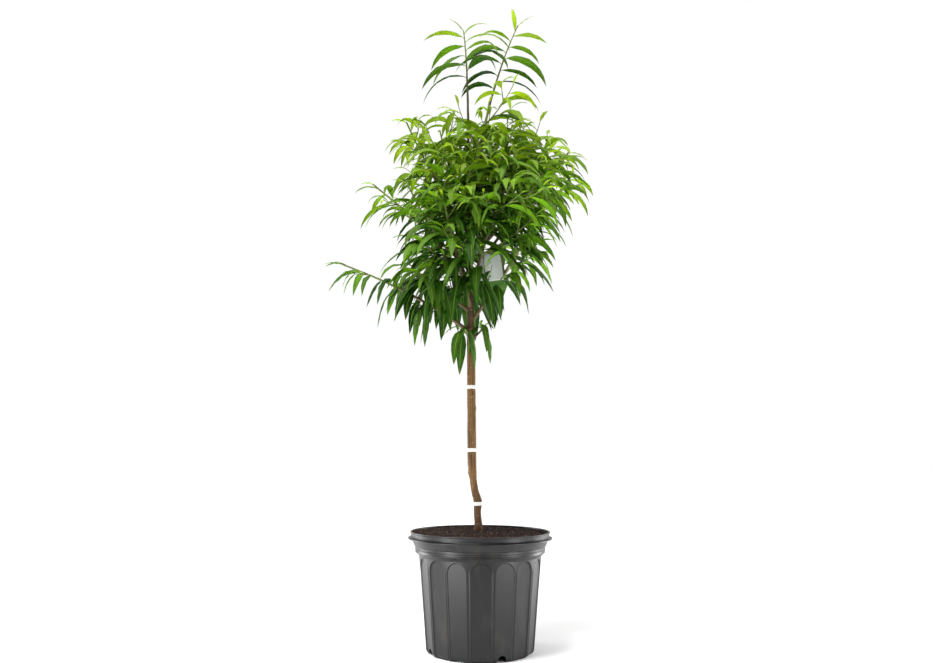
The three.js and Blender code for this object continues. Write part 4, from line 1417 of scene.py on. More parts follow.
@dataclass
class LeafSprays:
    """All the leaves, each with a stalk, a folded and wavy blade, and a keel under its midrib.

    A leaf is a row of rings, one at each of the stations along it. A ring has one point for each of
    the places across the blade, and one more below the midrib.
    """

    growths: list[Growth]
    stations: tuple[float, ...] = (0, 0.055, 0.11, 0.2, 0.31, 0.43, 0.56, 0.69, 0.81, 0.91)
    places: tuple[float, ...] = (-1, -0.5, 0, 0.5, 1)
    stalk_end: float = 0.055
    stalk_radius: float = 0.8
    stalk_flare: float = 1.25
    shape_skew: float = 0.72
    shape_fullness: float = 0.9
    unfold: float = 0.45
    keel_low: float = 0.9
    keel_high: float = 0.3
    wave: float = 1.2
    waves: float = 3.4
    far_wave: float = -0.7
    sharp: float = 62
    limit: int = 1500

    def build(self, materials: Sequence[bpy.types.Material]) -> list[bpy.types.Object]:
        """Builds the leaves as joined pieces of no more than a set number."""
        leaves = [leaf for growth in self.growths for leaf in growth.leaves]
        faces, uv = self.faces(), self.map_places()
        made = []
        for first in range(0, len(leaves), self.limit):
            piece = Piece(f"leaves_{len(made) + 1}")
            for leaf in leaves[first:first + self.limit]:
                # The age number carries painted shade for low leaves as well as their age.
                piece.add(self.points(leaf), faces, [0, 0, 1, 1, 1], uv, age=leaf.age, tone=leaf.tone)
            made.append(piece.build(materials, self.sharp))
        return made

    def outline(self, along: Vec) -> Vec:
        """The blade's half width at shares of the leaf, from 0 to 1."""
        share = clamp((along - self.stalk_end) / (1 - self.stalk_end))
        return np.sin(math.pi * share**self.shape_skew) ** self.shape_fullness

    def points(self, leaf: Leaf) -> Vec:
        """The points of a leaf's rings, and its tip."""
        along, place = np.array(self.stations), np.array(self.places)
        centres, tangents = leaf.path.points(along), leaf.path.tangents(along)
        turn = leaf.tilt + leaf.twist * along
        side, normal = (turned(rows, tangents, turn) for rows in leaf.path.frames(along))
        half = leaf.half_width * self.outline(along)
        fold = leaf.fold * (1 - self.unfold * along)
        wavy = self.wave * np.sin(leaf.phase + TURN * self.waves * along)
        across = half[:, None] * place * np.cos(fold)[:, None]
        lift = half[:, None] * np.abs(place) * np.sin(fold)[:, None]
        ease = (half / leaf.half_width)[:, None]
        lift = lift + ease * (wavy[:, None] * place**2 * np.where(place < 0, 1, self.far_wave))
        stalk = (along <= self.stalk_end)[:, None]
        radius = self.stalk_radius * lerp(self.stalk_flare, 1.0, along / self.stalk_end)[:, None]
        bend = (1 - place) / 2 * math.pi
        across = np.where(stalk, radius * np.cos(bend), across)
        lift = np.where(stalk, radius * np.sin(bend), lift)
        keel = np.where(stalk, radius, lerp(self.keel_low, self.keel_high, along)[:, None])
        top = centres[:, None] + side[:, None] * across[..., None] + normal[:, None] * lift[..., None]
        rings = np.concatenate([top, (centres - normal * keel)[:, None]], axis=1)
        return np.vstack([rings.reshape(-1, 3), leaf.path.points(np.array([1.0]))])

    def faces(self) -> list[Vec]:
        """A leaf's faces: its top, the top of its tip, its underside, the tip's underside and its foot."""
        count, blade = len(self.stations), len(self.places) - 1
        sides = blade + 2
        walls = ring_faces(count, sides).reshape(count - 1, sides, 4)
        last, end = (count - 1) * sides, count * sides
        rim = [[last + i, last + (i + 1) % sides, end] for i in range(sides)]
        stub = [[sides - 1, i + 1, i] for i in reversed(range(blade))]
        return [walls[:, :blade].reshape(-1, 4), rim[:blade], walls[:, blade:].reshape(-1, 4),
                rim[blade:], stub]

    def map_places(self) -> Vec:
        """The map places of a leaf's points: across it, and along it."""
        across = (np.array([*self.places, 0.0]) + 1) / 2
        grid = np.stack(np.broadcast_arrays(across, np.array(self.stations)[:, None]), -1)
        return np.vstack([grid.reshape(-1, 2), [[0.5, 1.0]]])


@dataclass
class Branches:
    """Every limb with its twigs: round, tapering, and swollen where they leave their parent."""

    growths: list[Growth]
    limb_sides: int = 12
    twig_sides: int = 7
    limb_step: float = 5
    twig_step: float = 9
    least_rings: int = 6
    taper: float = 0.85
    collar: float = 0.7
    collar_reach: float = 13
    twig_collar: float = 0.3
    relief: float = 0.3
    twig_relief: float = 0.35
    ages: tuple[float, ...] = (1.0, 0.55, 0.35)

    def build(self, materials: Sequence[bpy.types.Material]) -> bpy.types.Object:
        """Builds all of them as one piece."""
        piece = Piece("branches")
        for growth in self.growths:
            for shoot in growth.shoots:
                self.add_shoot(piece, shoot)
        return piece.build(materials, sharp=60)

    def add_shoot(self, piece: Piece, shoot: Shoot) -> None:
        """Adds one limb or twig."""
        length, main = shoot.path.length(), shoot.order == 0
        step = self.limb_step if main else self.twig_step
        along = np.linspace(0, 1, max(self.least_rings, int(length / step)))
        reach = self.collar_reach * (1 if main else self.twig_collar)
        radii = lerp(shoot.base, shoot.tip, along**self.taper)
        radii = radii * (1 + self.collar * np.exp(-along * length / reach))
        size = self.relief * (1 if main else self.twig_relief)

        def relief(points: Vec, _angle: Vec, _along: Vec) -> Vec:
            """What the bark adds to the radius."""
            return size * ripple(points * [1, 1, 0.5], 16, 5, 2) * (shoot.base / 5)

        sides = self.limb_sides if main else self.twig_sides
        points, faces, shares = swept(shoot.path, along, radii, sides, relief)
        piece.add(points, faces, age=self.ages[shoot.order] * (1 - shares**2))


@dataclass
class Stem:
    """The trunk: root flare, graft, a bend above it, and bark with shallow furrows and knots."""

    path: TrunkPath
    sides: int = 40
    step: float = 2.6
    relief: float = 0.55
    furrow: float = 0.35
    knot_heights: tuple[float, ...] = (436, 534, 598, 688)
    knot_size: float = 1.5
    knot_turn: float = 0.5
    knot_rise: float = 6
    foot: Span = (292.5, 300)
    head: Span = (1080, 1120)
    head_loss: float = 0.8

    def build(self, materials: Sequence[bpy.types.Material]) -> bpy.types.Object:
        """Builds the trunk as one piece."""
        piece = Piece("trunk_bark")
        along = np.linspace(0, 1, int(self.path.length() / self.step))
        points, faces, _ = swept(self.path, along, self.path.radius_at(along), self.sides, self.gain)
        piece.add(points, faces)
        return piece.build(materials, sharp=70)

    def gain(self, points: Vec, angle: Vec, along: Vec) -> Vec:
        """What bark and knots add to the radius; less at the foot and the head."""
        height = self.path.points(along)[:, 2]
        gain = self.relief * ripple(points * [1, 1, 0.3], 30, 71, 3)
        gain += self.furrow * ripple(points * [1, 1, 0.12], 7, 72, 2)
        numbers = Numbers(73)
        for knot in self.knot_heights:
            where = numbers.between(0, TURN)
            turn = np.abs((angle + where + math.pi) % TURN - math.pi)
            rise = (height - knot) / self.knot_rise
            gain += self.knot_size * np.exp(-(turn / self.knot_turn) ** 2 - rise**2)
        return gain * smooth(height, *self.foot) * (1 - smooth(height, *self.head) * self.head_loss)


# ---------------------------------------------------------------- pot


@dataclass
class NurseryPot:
    """A thin-walled moulded pot: arched flat panels, a stepped collar, a bead ring, a lip and drains."""

    floor: float = 5
    foot_radius: float = 122
    base_radius: float = 134.5
    corner: float = 13
    corner_steps: int = 9
    shoulder_radius: float = 153
    shoulder: float = 232
    shoulder_rows: int = 4
    panels: int = 16
    panel_top: float = 230
    panel_rows: int = 10
    arch_columns: int = 9
    rib: float = 7.5
    rib_places: tuple[float, ...] = (0.3, 0.6, 1.0, 1.4, 1.7)
    edge: float = 1.7
    recess: float = 2.0
    groove: float = 1.1
    groove_half: float = 0.6
    drains: int = 4
    drain_azimuth: float = -67.5
    drain_width: float = 22
    drain_top: float = 16.4
    drain_foot: float = -3
    drain_bevel: float = 1.1
    drain_inner: float = 110
    drain_flare: float = 20
    drain_steps: int = 15
    under_radii: tuple[float, ...] = (20, 60, 100, 122)
    outer_collar: tuple[Span, ...] = (
        (154.5, 233.5), (157.5, 237.5), (160.4, 240.4), (161.6, 241), (162.4, 242), (162.5, 243.4),
        (161.9, 244.6), (162.2, 248), (163.1, 248.5), (163.2, 249.6), (162.5, 250.2), (162.9, 255.2),
        (164.1, 256.4), (165.2, 257.2), (165.5, 258.2), (166, 259.6), (170.6, 270), (171.6, 272),
        (172.4, 272.8), (179.4, 273), (180.3, 273.6), (180.6, 274.6), (180.5, 275.6), (179.9, 276.4),
        (178.8, 276.8), (173.2, 277.4), (172.4, 278.2), (172.6, 280), (174, 287.8), (174.9, 288.6),
        (175.3, 289.6), (175.2, 290.4), (174.6, 291), (172.2, 291), (171.3, 290.4),
    )
    inner_wall: tuple[Span, ...] = (
        (170.8, 287.4), (169.2, 278.4), (166.4, 271.6), (160, 257), (158.4, 245), (157, 240.6),
        (149.2, 231.6), (147.6, 228), (138.2, 120), (129.2, 15), (127, 8.5), (121, 5), (60, 5),
    )

    def build(self, materials: Sequence[bpy.types.Material]) -> bpy.types.Object:
        """Builds the pot as one piece, with its drain holes cut."""
        piece = Piece("nursery_pot")
        azimuth, across = self.columns()
        rings = [round_points(azimuth, radius, 0) for radius in self.under_radii]
        rings += self.corner_rings(azimuth, across)
        rings += self.panel_rings(azimuth, across)
        rings += [round_points(azimuth, r, z) for r, z in self.outer_collar + self.inner_wall]
        points = np.vstack([*rings, [[0, 0, 0], [0, 0, self.floor]]])
        piece.add(points, capped_faces(len(rings), len(azimuth)))
        made = piece.build(materials, sharp=32)
        self.cut_drains(made)
        return made

    def half_panel(self) -> tuple[float, float]:
        """Half the angle of a panel with its edge, and of its flat alone."""
        mean = self.base_radius / 2 + self.shoulder_radius / 2
        half = math.pi / self.panels - self.rib / 2 / mean
        return half, half - self.edge / mean

    def columns(self) -> tuple[Vec, Vec]:
        """The columns of points round the pot.

        Returns:
            The azimuth of each column, and its angle from the middle of its panel, in radians.
        """
        pitch = TURN / self.panels
        half, inner = self.half_panel()
        bow = np.sin(np.linspace(-math.pi / 2, math.pi / 2, self.arch_columns + 2))
        rib = half + (pitch / 2 - half) * np.array(self.rib_places)
        across = np.concatenate([[-half], bow * inner, [half], rib])
        azimuth = -math.pi / 2 + np.arange(self.panels)[:, None] * pitch + across[None, :]
        return azimuth.ravel(), np.tile(across, self.panels)

    def flatness(self, across: Vec) -> tuple[Vec, Vec]:
        """Which columns are on a panel's flat, and what share of the round radius they have there."""
        half, inner = self.half_panel()
        return np.abs(across) <= inner, math.cos(half) / np.cos(np.minimum(np.abs(across), half))

    def grooved(self, across: Vec) -> Vec:
        """How deep each column lies in the groove down the middle of a rib, from 0 to 1."""
        half, _ = self.half_panel()
        middle = math.pi / self.panels
        away = np.abs(across - middle) / (middle - half) / self.groove_half
        return (across > half) * (1 - clamp(away))

    def body_radius(self, z: Vec) -> Vec:
        """The radius of the ribs at a height."""
        share = (z - self.corner) / (self.shoulder - self.corner)
        return lerp(self.base_radius, self.shoulder_radius, share)

    def corner_rings(self, azimuth: Vec, across: Vec) -> list[Vec]:
        """The rings of the foot's rounded corner; the panels run down round it."""
        inside, chord = self.flatness(across)
        reach = self.base_radius - self.foot_radius
        groove = self.groove * self.grooved(across)
        rings = []
        for i in range(1, self.corner_steps + 1):
            turn = i / self.corner_steps * math.pi / 2
            deep = np.where(inside, self.recess, groove) * min(i - 1, 1)
            flat = self.foot_radius + reach * math.sin(turn)
            radius = flat * np.where(inside & (i > 1), chord, 1) - deep * math.sin(turn)
            z = self.corner * (1 - math.cos(turn)) + deep * math.cos(turn)
            rings.append(round_points(azimuth, radius, z))
        return rings

    def panel_rings(self, azimuth: Vec, across: Vec) -> list[Vec]:
        """The rings of the wall between the foot and the collar, which follow the arches."""
        half, inner = self.half_panel()
        reach = half * self.shoulder_radius
        spring = self.panel_top - reach
        top = spring + reach * np.sqrt(1 - clamp(np.abs(across) / half)**2)
        inner_top = spring + (reach - self.edge) * np.sqrt(1 - clamp(np.abs(across) / inner)**2)
        inside, chord = self.flatness(across)
        stops = [lerp(self.corner, inner_top, i / self.panel_rows) for i in range(1, self.panel_rows)]
        stops += [inner_top, top]
        stops += [lerp(top, self.shoulder, (i + 1) / self.shoulder_rows) for i in range(self.shoulder_rows)]
        rings = []
        for i, z in enumerate(stops):
            radius = self.body_radius(z)
            radius = np.where(inside & (i < self.panel_rows), radius * chord - self.recess, radius)
            share = 1 - smooth(z, spring, spring + reach / 2)
            rings.append(round_points(azimuth, radius - self.groove * self.grooved(across) * share, z))
        return rings

    def cut_drains(self, made: bpy.types.Object) -> None:
        """Cuts arched drain holes with bevelled mouths through the foot."""
        cutter = Piece("drain_cutter")
        half = self.drain_width / 2
        turns = np.concatenate([[0], np.linspace(0, math.pi, self.drain_steps), [math.pi]])
        spread = np.stack([np.cos(turns), np.sin(turns)], -1)
        outline = spread * half + [0, self.drain_top - half]
        outline[[0, -1], 1] = self.drain_foot
        wide = outline + spread * self.drain_flare
        lift = 1 - clamp(outline[:, 1] / self.corner)
        mouth = lerp(self.foot_radius, self.base_radius, np.sqrt(1 - lift**2)) - self.drain_bevel
        mouth = mouth[:, None]
        sides = len(outline)
        ends = np.arange(sides)
        faces = [ring_faces(3, sides), ends[None, ::-1], ends[None, :] + 2 * sides]
        for i in range(self.drains):
            azimuth = math.radians(self.drain_azimuth + i * 360 / self.drains)
            out, across = heading(azimuth), beside(azimuth)
            near, far = (rows[:, :1] * across + rows[:, 1:] * vec(0, 0, 1) for rows in (outline, wide))
            cutter.add(np.vstack([near + out * self.drain_inner, near + out * mouth,
                                  far + out * (mouth + self.drain_flare)]), faces)
        tool = cutter.build([], smoothed=False)
        cut = made.modifiers.new("drains", "BOOLEAN")
        cut.object, cut.operation, cut.solver = tool, "DIFFERENCE", "EXACT"
        mesh = baked(made)
        made.modifiers.clear()
        old, made.data = made.data, mesh
        mesh.name = made.name
        bpy.data.meshes.remove(old)
        bpy.data.objects.remove(tool)


# ---------------------------------------------------------------- potting mix


@dataclass
class PottingMix:
    """A low mound of potting mix, strewn with crumbs of bark and peat."""

    edge_radius: float = 170.6
    foot_radius: float = 168.8
    middle_radius: float = 3
    sides: int = 160
    rings: int = 46
    profile: tuple[Span, ...] = ((0, 292), (24, 292), (68, 291), (139, 289), (170, 287))
    foot: float = 279
    roughness: float = 1.3
    crumbs: float = 5200
    crumb_sizes: Span = (0.8, 3.1)
    crumb_shapes: tuple[Triple, Triple] = ((0.45, 0.5, 0.35), (1.5, 1.0, 0.8))
    crumb_turn: float = 6.28
    steepest: float = 0.4
    seed: int = 5

    def build(self, materials: Sequence[bpy.types.Material]) -> list[bpy.types.Object]:
        """Builds the mound and the crumbs."""
        mound = self.build_mound(materials)
        return [mound, self.strew(mound, materials[0])]

    def build_mound(self, materials: Sequence[bpy.types.Material]) -> bpy.types.Object:
        """Builds the mound, a closed disc with a rough top."""
        piece = Piece("potting_mix_mound")
        azimuth = round_angles(self.sides)
        radii = np.linspace(self.edge_radius, self.middle_radius, self.rings)
        rows = np.array(self.profile)
        under = [(self.foot_radius * 0.5, self.foot), (self.foot_radius, self.foot)]
        rings = under + list(zip(radii, np.interp(radii, rows[:, 0], rows[:, 1])))
        skin = np.concatenate([round_points(azimuth, radius, z) for radius, z in rings])
        top = skin[:, 2] > self.foot + 1
        skin[top, 2] += self.roughness * ripple(skin[top], 26, 61, 4) - self.roughness * 0.4
        points = np.vstack([skin, [[0, 0, self.foot], [0, 0, rows[0, 1] - 1]]])
        tone = 0.5 + 0.3 * ripple(points, 9, 62, 2)
        piece.add(points, capped_faces(len(rings), self.sides), tone=clamp(tone, 0.05, 0.75))
        return piece.build(materials, sharp=70)

    def strew(self, mound: bpy.types.Object, material: bpy.types.Material) -> bpy.types.Object:
        """Strews crumbs over the mound's top, and keeps them as a plain mesh."""
        tree = self.crumb_tree(material)
        base = placed("crumb_base", mound.data)
        base.modifiers.new("crumbs", "NODES").node_group = tree
        mesh = baked(base)
        bpy.data.objects.remove(base)
        bpy.data.node_groups.remove(tree)
        mesh.name = "potting_mix_crumbs"
        LOG.info("%s: %d faces", mesh.name, len(mesh.polygons))
        return placed("potting_mix_crumbs", mesh)

    def crumb_tree(self, material: bpy.types.Material) -> bpy.types.NodeTree:
        """The node tree that puts crumbs in place of a mound: on its top, turned and shaped at random."""
        tree = bpy.data.node_groups.new("crumbs", "GeometryNodeTree")
        for end in ("INPUT", "OUTPUT"):
            tree.interface.new_socket("Geometry", in_out=end, socket_type="NodeSocketGeometry")
        node = Nodes(tree).node

        def random(offset: int, low: Any, high: Any) -> bpy.types.NodeSocket:
            """A random number or vector for each crumb, from low to high."""
            vector = isinstance(low, tuple)
            keys = ("Min", "Max") if vector else ("Min_001", "Max_001")
            chance = node("FunctionNodeRandomValue", {"data_type": "FLOAT_VECTOR" if vector else "FLOAT"}, {
                keys[0]: low, keys[1]: high, "Seed": self.seed + offset})
            return chance.outputs[0 if vector else 1]

        normal = node("GeometryNodeInputNormal").outputs[0]
        rise = node("ShaderNodeSeparateXYZ", inputs={"Vector": normal}).outputs["Z"]
        upward = node("FunctionNodeCompare", {"data_type": "FLOAT", "operation": "GREATER_THAN"}, {
            "A": rise, "B": self.steepest})
        scatter = node("GeometryNodeDistributePointsOnFaces", None, {
            "Mesh": node("NodeGroupInput").outputs[0], "Selection": upward.outputs[0],
            "Density": self.crumbs / (math.pi * (self.edge_radius * MM) ** 2), "Seed": self.seed})
        ball = node("GeometryNodeMeshIcoSphere", None, {"Radius": 1.0, "Subdivisions": 1})
        turn = random(1, (0, 0, 0), (self.crumb_turn,) * 3)
        shape = random(2, *self.crumb_shapes)
        size = random(3, self.crumb_sizes[0] * MM, self.crumb_sizes[1] * MM)
        scale = node("ShaderNodeVectorMath", {"operation": "SCALE"}, {"Vector": shape, "Scale": size})
        crumbs = node("GeometryNodeInstanceOnPoints", None, {
            "Points": scatter.outputs["Points"], "Instance": ball.outputs["Mesh"],
            "Rotation": turn, "Scale": scale.outputs[0]})
        toned = node("GeometryNodeStoreNamedAttribute", {"data_type": "FLOAT", "domain": "INSTANCE"}, {
            "Geometry": crumbs.outputs[0], "Name": "tone", "Value": random(4, 0.0, 1.0)})
        real = node("GeometryNodeRealizeInstances", None, {"Geometry": toned.outputs[0]})
        dressed = node("GeometryNodeSetMaterial", None, {
            "Geometry": real.outputs[0], "Material": material})
        node("NodeGroupOutput", None, {"Geometry": dressed.outputs[0]})
        return tree


# ---------------------------------------------------------------- ties and tag


@dataclass
class Tie:
    """A band of soft tape round the stem, with a short free end."""

    name: str
    height: float
    path: TrunkPath
    width: float = 9
    thickness: float = 1.4
    sink: float = 1.6
    bulge: tuple[Span, ...] = (
        (-0.4, -0.5), (0, -0.38), (0.15, -0.12), (-0.1, 0), (0.15, 0.15), (0, 0.38), (-0.4, 0.5),
    )
    sway: float = 0.175
    rise: float = 0.5
    last_phase: float = 6.28
    sides: int = 48
    tail_azimuth: float = -20
    tail: float = 9
    tail_rows: int = 7

    def build(self, materials: Sequence[bpy.types.Material]) -> bpy.types.Object:
        """Builds the band."""
        piece = Piece(self.name)
        phase = Numbers(int(self.height)).between(0, self.last_phase)
        centre, radius = self.path.cut_at(self.height)
        azimuth = round_angles(self.sides)
        inner = radius - self.sink
        outer = inner + self.sink + self.thickness
        skin = [(outer + gain, lift) for gain, lift in self.bulge]
        rings = []
        for reach, lift in [(inner, -0.5), *skin, (inner, 0.5)]:
            sway = self.sway * np.sin(azimuth * 2 + phase) * (reach > inner)
            z = lift * self.width + self.rise * np.sin(azimuth + phase)
            rings.append(centre + round_points(azimuth, reach + sway, z))
        piece.add(np.concatenate(rings), [ring_faces(len(rings), self.sides, wrapped=True)])
        self.add_tail(piece, centre, outer)
        return piece.build(materials, sharp=50)

    def add_tail(self, piece: Piece, centre: Vec, radius: float) -> None:
        """Adds the free end, a short curled strip."""
        azimuth = math.radians(self.tail_azimuth)
        out, across = heading(azimuth), beside(azimuth)
        share = np.linspace(0, 1, self.tail_rows)[:, None]
        middle = (centre + out * (radius - 0.5) + across * (share * self.tail)
                  + out * (share**2 * 2.2) - vec(0, 0, 1) * (share**1.5 * 2))
        piece.add(*strip(middle, out, vec(0, 0, 1), 0.35, self.width * 0.3))


@dataclass
class HangTag:
    """A blank card with rounded corners on a strap and a ring round the stem."""

    path: TrunkPath
    width: float = 58
    height: float = 96
    thickness: float = 1
    corner: float = 5
    columns: int = 16
    rows: int = 26
    bow: float = 1.6
    lean: float = -8
    centre: Triple = (28, -24, 945)
    ring_height: float = 1014
    ring_width: float = 9
    ring_thickness: float = 1.2
    ring_sink: float = 1.2
    ring_sides: int = 40
    strap_width: float = 11
    strap_half: float = 0.5
    strap_sag: float = 1.5
    strap_rows: int = 12
    ground_place: float = 0.9

    def build(self, materials: Sequence[bpy.types.Material]) -> bpy.types.Object:
        """Builds the tag as one piece."""
        piece = Piece("blank_hang_tag")
        self.add_card(piece)
        centre, radius = self.path.cut_at(self.ring_height)
        for points, faces in (self.ring(centre, radius), self.strap(centre, radius)):
            piece.add(points, faces, uv=np.full((len(points), 2), self.ground_place))
        return piece.build(materials, sharp=45)

    def spot(self, across: Vec | float, up: Vec | float, out: float) -> Vec:
        """Points of the card: across it, up it, and out towards the front."""
        lean = math.radians(self.lean)
        x = self.centre[0] + across * math.cos(lean) + up * math.sin(lean)
        z = self.centre[2] - across * math.sin(lean) + up * math.cos(lean)
        y = self.centre[1] - out - self.bow * (1 - (across / self.width * 2) ** 2) + self.bow / 2
        return np.stack([x, y, z], -1)

    def add_card(self, piece: Piece) -> None:
        """Adds the card, a grid with rounded corners."""
        counts = (self.rows + 1, self.columns + 1)
        up, across = np.meshgrid(*(np.linspace(-1, 1, count) for count in counts), indexing="ij")
        half_width, half_height = self.width / 2, self.height / 2
        x, z = across * half_width, up * half_height
        reach = np.maximum(np.abs(z) - (half_height - self.corner), 0)
        narrow = half_width - self.corner + np.sqrt(np.maximum(self.corner**2 - reach**2, 0))
        x = x * narrow / half_width
        sides = [self.spot(x, z, out).reshape(-1, 3) for out in (self.thickness / 2, -self.thickness / 2)]
        sheet = ring_faces(*counts, closed=False)
        grid = np.arange(up.size).reshape(counts)
        rim = np.concatenate([grid[0, :-1], grid[:-1, -1], grid[-1, :0:-1], grid[:0:-1, 0]])
        after = np.roll(rim, -1)
        edge = np.stack([rim + up.size, after + up.size, after, rim], -1)
        uv = np.stack([(across + 1) / 2, (up + 1) / 2], -1).reshape(-1, 2)
        piece.add(np.vstack(sides), [sheet, sheet[:, ::-1] + up.size, edge], uv=np.vstack([uv, uv]))

    def ring(self, centre: Vec, radius: float) -> tuple[Vec, list[Vec]]:
        """The points and faces of the ring round the stem."""
        azimuth = round_angles(self.ring_sides)
        inner, outer = radius - self.ring_sink, radius + self.ring_thickness
        walls = ((inner, -0.5), (outer, -0.5), (outer, 0.5), (inner, 0.5))
        rings = [centre + round_points(azimuth, reach, lift * self.ring_width) for reach, lift in walls]
        return np.concatenate(rings), [ring_faces(len(rings), self.ring_sides, wrapped=True)]

    def strap(self, centre: Vec, radius: float) -> tuple[Vec, list[Vec]]:
        """The points and faces of the strap from the card up to the ring."""
        head = self.spot(0.0, self.height / 2 - 3, 0.0)
        foot = centre + vec(0.3, -radius - 0.2, -3)
        rows = np.linspace(0, 1, self.strap_rows)[:, None]
        middle = lerp(head, foot, rows) - vec(0, self.strap_sag, 0) * np.sin(rows * math.pi)
        along = unit(foot - head)
        across = unit(np.cross(along, vec(0, 1, 0)))
        return strip(middle, across, np.cross(across, along), self.strap_width / 2, self.strap_half)


# ---------------------------------------------------------------- studio


def placing(right: Vec, up: Vec, back: Vec, place: Sequence[float]) -> Matrix:
    """A placing from three axes and a place."""
    return Matrix([*np.stack([right, up, back, vec(*place)], 1).tolist(), [0, 0, 0, 1]])


def aimed(place: Triple, aim: Triple = (0, 0, 0)) -> Matrix:
    """The placing of a light that faces a point."""
    back = unit(vec(*place) - vec(*aim))
    right = unit(np.cross(vec(0, 0, 1), back))
    return placing(right, np.cross(back, right), back, place)


@dataclass(frozen=True)
class Lamp:
    """A square soft light that faces the pot: its place and size in metres, and its power."""

    name: str
    place: Triple
    size: float
    power: float


@dataclass
class Studio:
    """The floor, the soft lights and the camera."""

    camera_place: Triple = (-0.036, -2.25, 0.5)
    pitch: float = 7.5
    roll: float = 0.2
    lens: float = 33.84
    floor_half: float = 12
    world_ahead: float = 1.0
    world_behind: float = 0.4
    world_span: Span = (-0.1, 0.6)
    sun_place: Triple = (-1.0, -1.1, 3.4)
    sun_angle: float = 20
    sun_strength: float = 2.45
    lamps_aim: Triple = (0, 0, 0.15)
    lamps: tuple[Lamp, ...] = (
        Lamp("box_left", (-0.8, -0.68, 0.16), 0.24, 6),
        Lamp("box_right", (0.85, -0.62, 0.16), 0.24, 4),
        Lamp("box_far_left", (-1.2, 0.5, 0.3), 0.5, 9),
        Lamp("box_far_right", (1.2, 0.5, 0.3), 0.5, 9),
    )

    def build(self) -> None:
        """Builds the floor, the world, the lights and the camera."""
        self.build_floor()
        self.build_world()
        self.build_lights()
        self.build_camera()
        bpy.context.scene.view_settings.view_transform = "Standard"

    def build_floor(self) -> None:
        """Lays a plain pale floor."""
        half = self.floor_half / MM
        floor = Piece("floor")
        floor.add(np.array([[-half, -half, 0], [half, -half, 0], [half, half, 0], [-half, half, 0]]),
                  [np.array([[0, 1, 2, 3]])])
        floor.build([FloorFinish().material("floor")], smoothed=False)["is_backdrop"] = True

    def build_world(self) -> None:
        """Gives the scene a white surround that is darker behind the camera."""
        world = bpy.data.worlds.new("studio")
        world.use_nodes = True
        nodes = Nodes(world.node_tree)
        place = nodes.node("ShaderNodeTexCoord").outputs["Generated"]
        ahead = nodes.node("ShaderNodeSeparateXYZ", inputs={"Vector": place}).outputs["Y"]
        low, high = self.world_span
        strength = nodes.node("ShaderNodeMapRange", None, {
            "Value": ahead, "From Min": low, "From Max": high,
            "To Min": self.world_behind, "To Max": self.world_ahead})
        background = next(n for n in world.node_tree.nodes if n.type == "BACKGROUND")
        background.inputs["Color"].default_value = (1.0, 1.0, 1.0, 1.0)
        nodes.feed(background.inputs["Strength"], strength.outputs[0])
        bpy.context.scene.world = world

    def build_lights(self) -> None:
        """Adds a wide soft sun that lights the floor evenly to its far edge, and the soft lights."""
        sun = bpy.data.lights.new("main", "SUN")
        sun.angle, sun.energy = math.radians(self.sun_angle), self.sun_strength
        placed("main", sun).matrix_world = aimed(self.sun_place)
        for lamp in self.lamps:
            data = bpy.data.lights.new(lamp.name, "AREA")
            data.shape, data.size, data.energy = "SQUARE", lamp.size, lamp.power
            made = placed(lamp.name, data)
            made.visible_camera = False
            made.matrix_world = aimed(lamp.place, self.lamps_aim)

    def build_camera(self) -> None:
        """Sets the camera at the viewing angle."""
        data = bpy.data.cameras.new("camera")
        data.sensor_width, data.lens = 36, self.lens
        camera = placed("camera", data)
        pitch, roll = math.radians(self.pitch), math.radians(self.roll)
        ahead = vec(0, math.cos(pitch), math.sin(pitch))
        above = vec(0, -math.sin(pitch), math.cos(pitch))
        right = vec(1, 0, 0) * math.cos(roll) + above * math.sin(roll)
        up = above * math.cos(roll) - vec(1, 0, 0) * math.sin(roll)
        camera.matrix_world = placing(right, up, -ahead, self.camera_place)
        bpy.context.scene.camera = camera


# ---------------------------------------------------------------- assembly


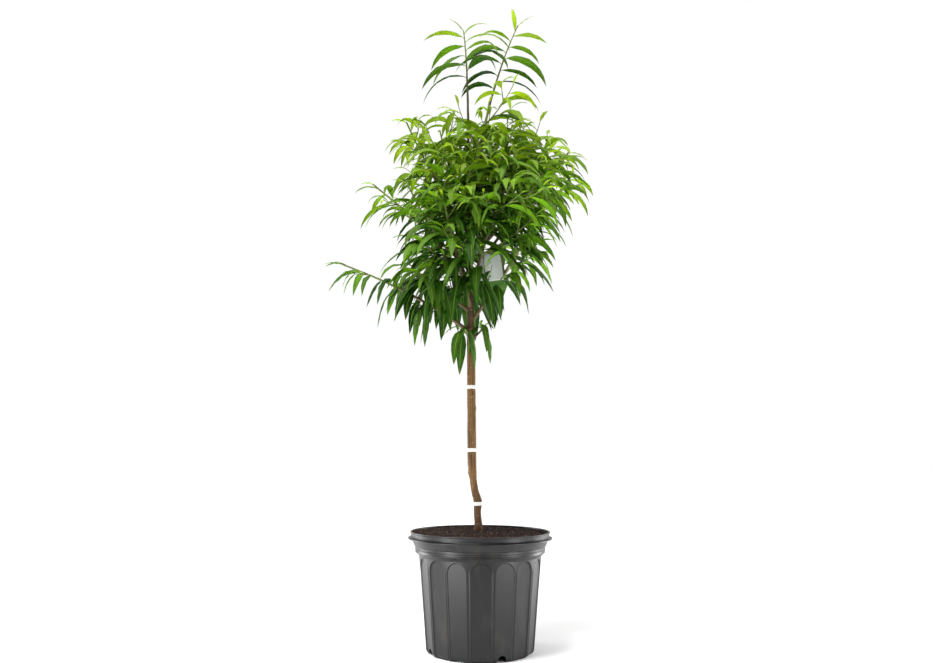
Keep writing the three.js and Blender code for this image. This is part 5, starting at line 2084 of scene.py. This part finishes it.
class Stock(Enum):
    """The kinds of material that the pieces are made of."""

    POT = "pot_plastic"
    MIX = "potting_mix"
    BARK = "bark"
    TIE = "tie_plastic"
    TAG = "tag_card"
    FOLIAGE = "foliage"


def hand_in(piece: bpy.types.Object, stock: Stock, nodes: Iterable[str]) -> None:
    """Ties a finished piece to the body, hides the nodes that it stands for, and logs how many they are."""
    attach(piece, ROOT)
    names = list(nodes)
    if names:
        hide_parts(*names)
    LOG.info("%s stands for %d nodes", piece.name, len(names))


def main() -> None:
    logging.basicConfig(level=logging.INFO, format="%(name)s: %(message)s")
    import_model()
    cad_low, cad_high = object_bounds()
    trunk = TrunkPath(TRUNK_STATIONS)
    box = [vec(*cad_low) / MM - REACH_MARGIN, vec(*cad_high) / MM + REACH_MARGIN]
    growths = [Growth(limb, trunk, box).grow() for limb in LIMBS]
    masses = [f"foliage_{limb.name}" for limb in LIMBS]
    pot = NurseryPot().build([PlasticFinish().material("pot_plastic")])
    hand_in(pot, Stock.POT, ["pot"])
    mix = PottingMix().build([CrumbFinish().material("potting_mix")])
    for piece, nodes in zip(mix, (["soil"], [])):
        hand_in(piece, Stock.MIX, nodes)
    stem = Stem(trunk).build([BarkFinish().material("bark")])
    hand_in(stem, Stock.BARK, ["trunk"])
    branches = Branches(growths).build([TwigFinish().material("young_bark")])
    hand_in(branches, Stock.BARK, [limb.name for limb in LIMBS])
    top = LeafFinish().material("leaf_top")
    under = LeafFinish(
        young=srgb(158, 192, 60),
        grown=srgb(108, 150, 48),
        # The underside's old green also serves as painted shade on low leaves.
        old=srgb(44, 86, 18),
        rib_share=0.4,
        roughness=0.6,
    ).material("leaf_under")
    for i, piece in enumerate(LeafSprays(growths).build([top, under])):
        hand_in(piece, Stock.FOLIAGE, masses if i == 0 else [])
    tape = TapeFinish().material("tie_plastic")
    for i, height in enumerate((358, 492, 652)):
        hand_in(Tie(f"tape_{i + 1}", height, trunk).build([tape]), Stock.TIE, [f"tie_{i + 1}"])
    hand_in(HangTag(trunk).build([CardFinish().material("tag_card")]), Stock.TAG, ["hang_tag"])
    Studio().build()
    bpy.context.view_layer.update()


if __name__ == "__main__":
    main()
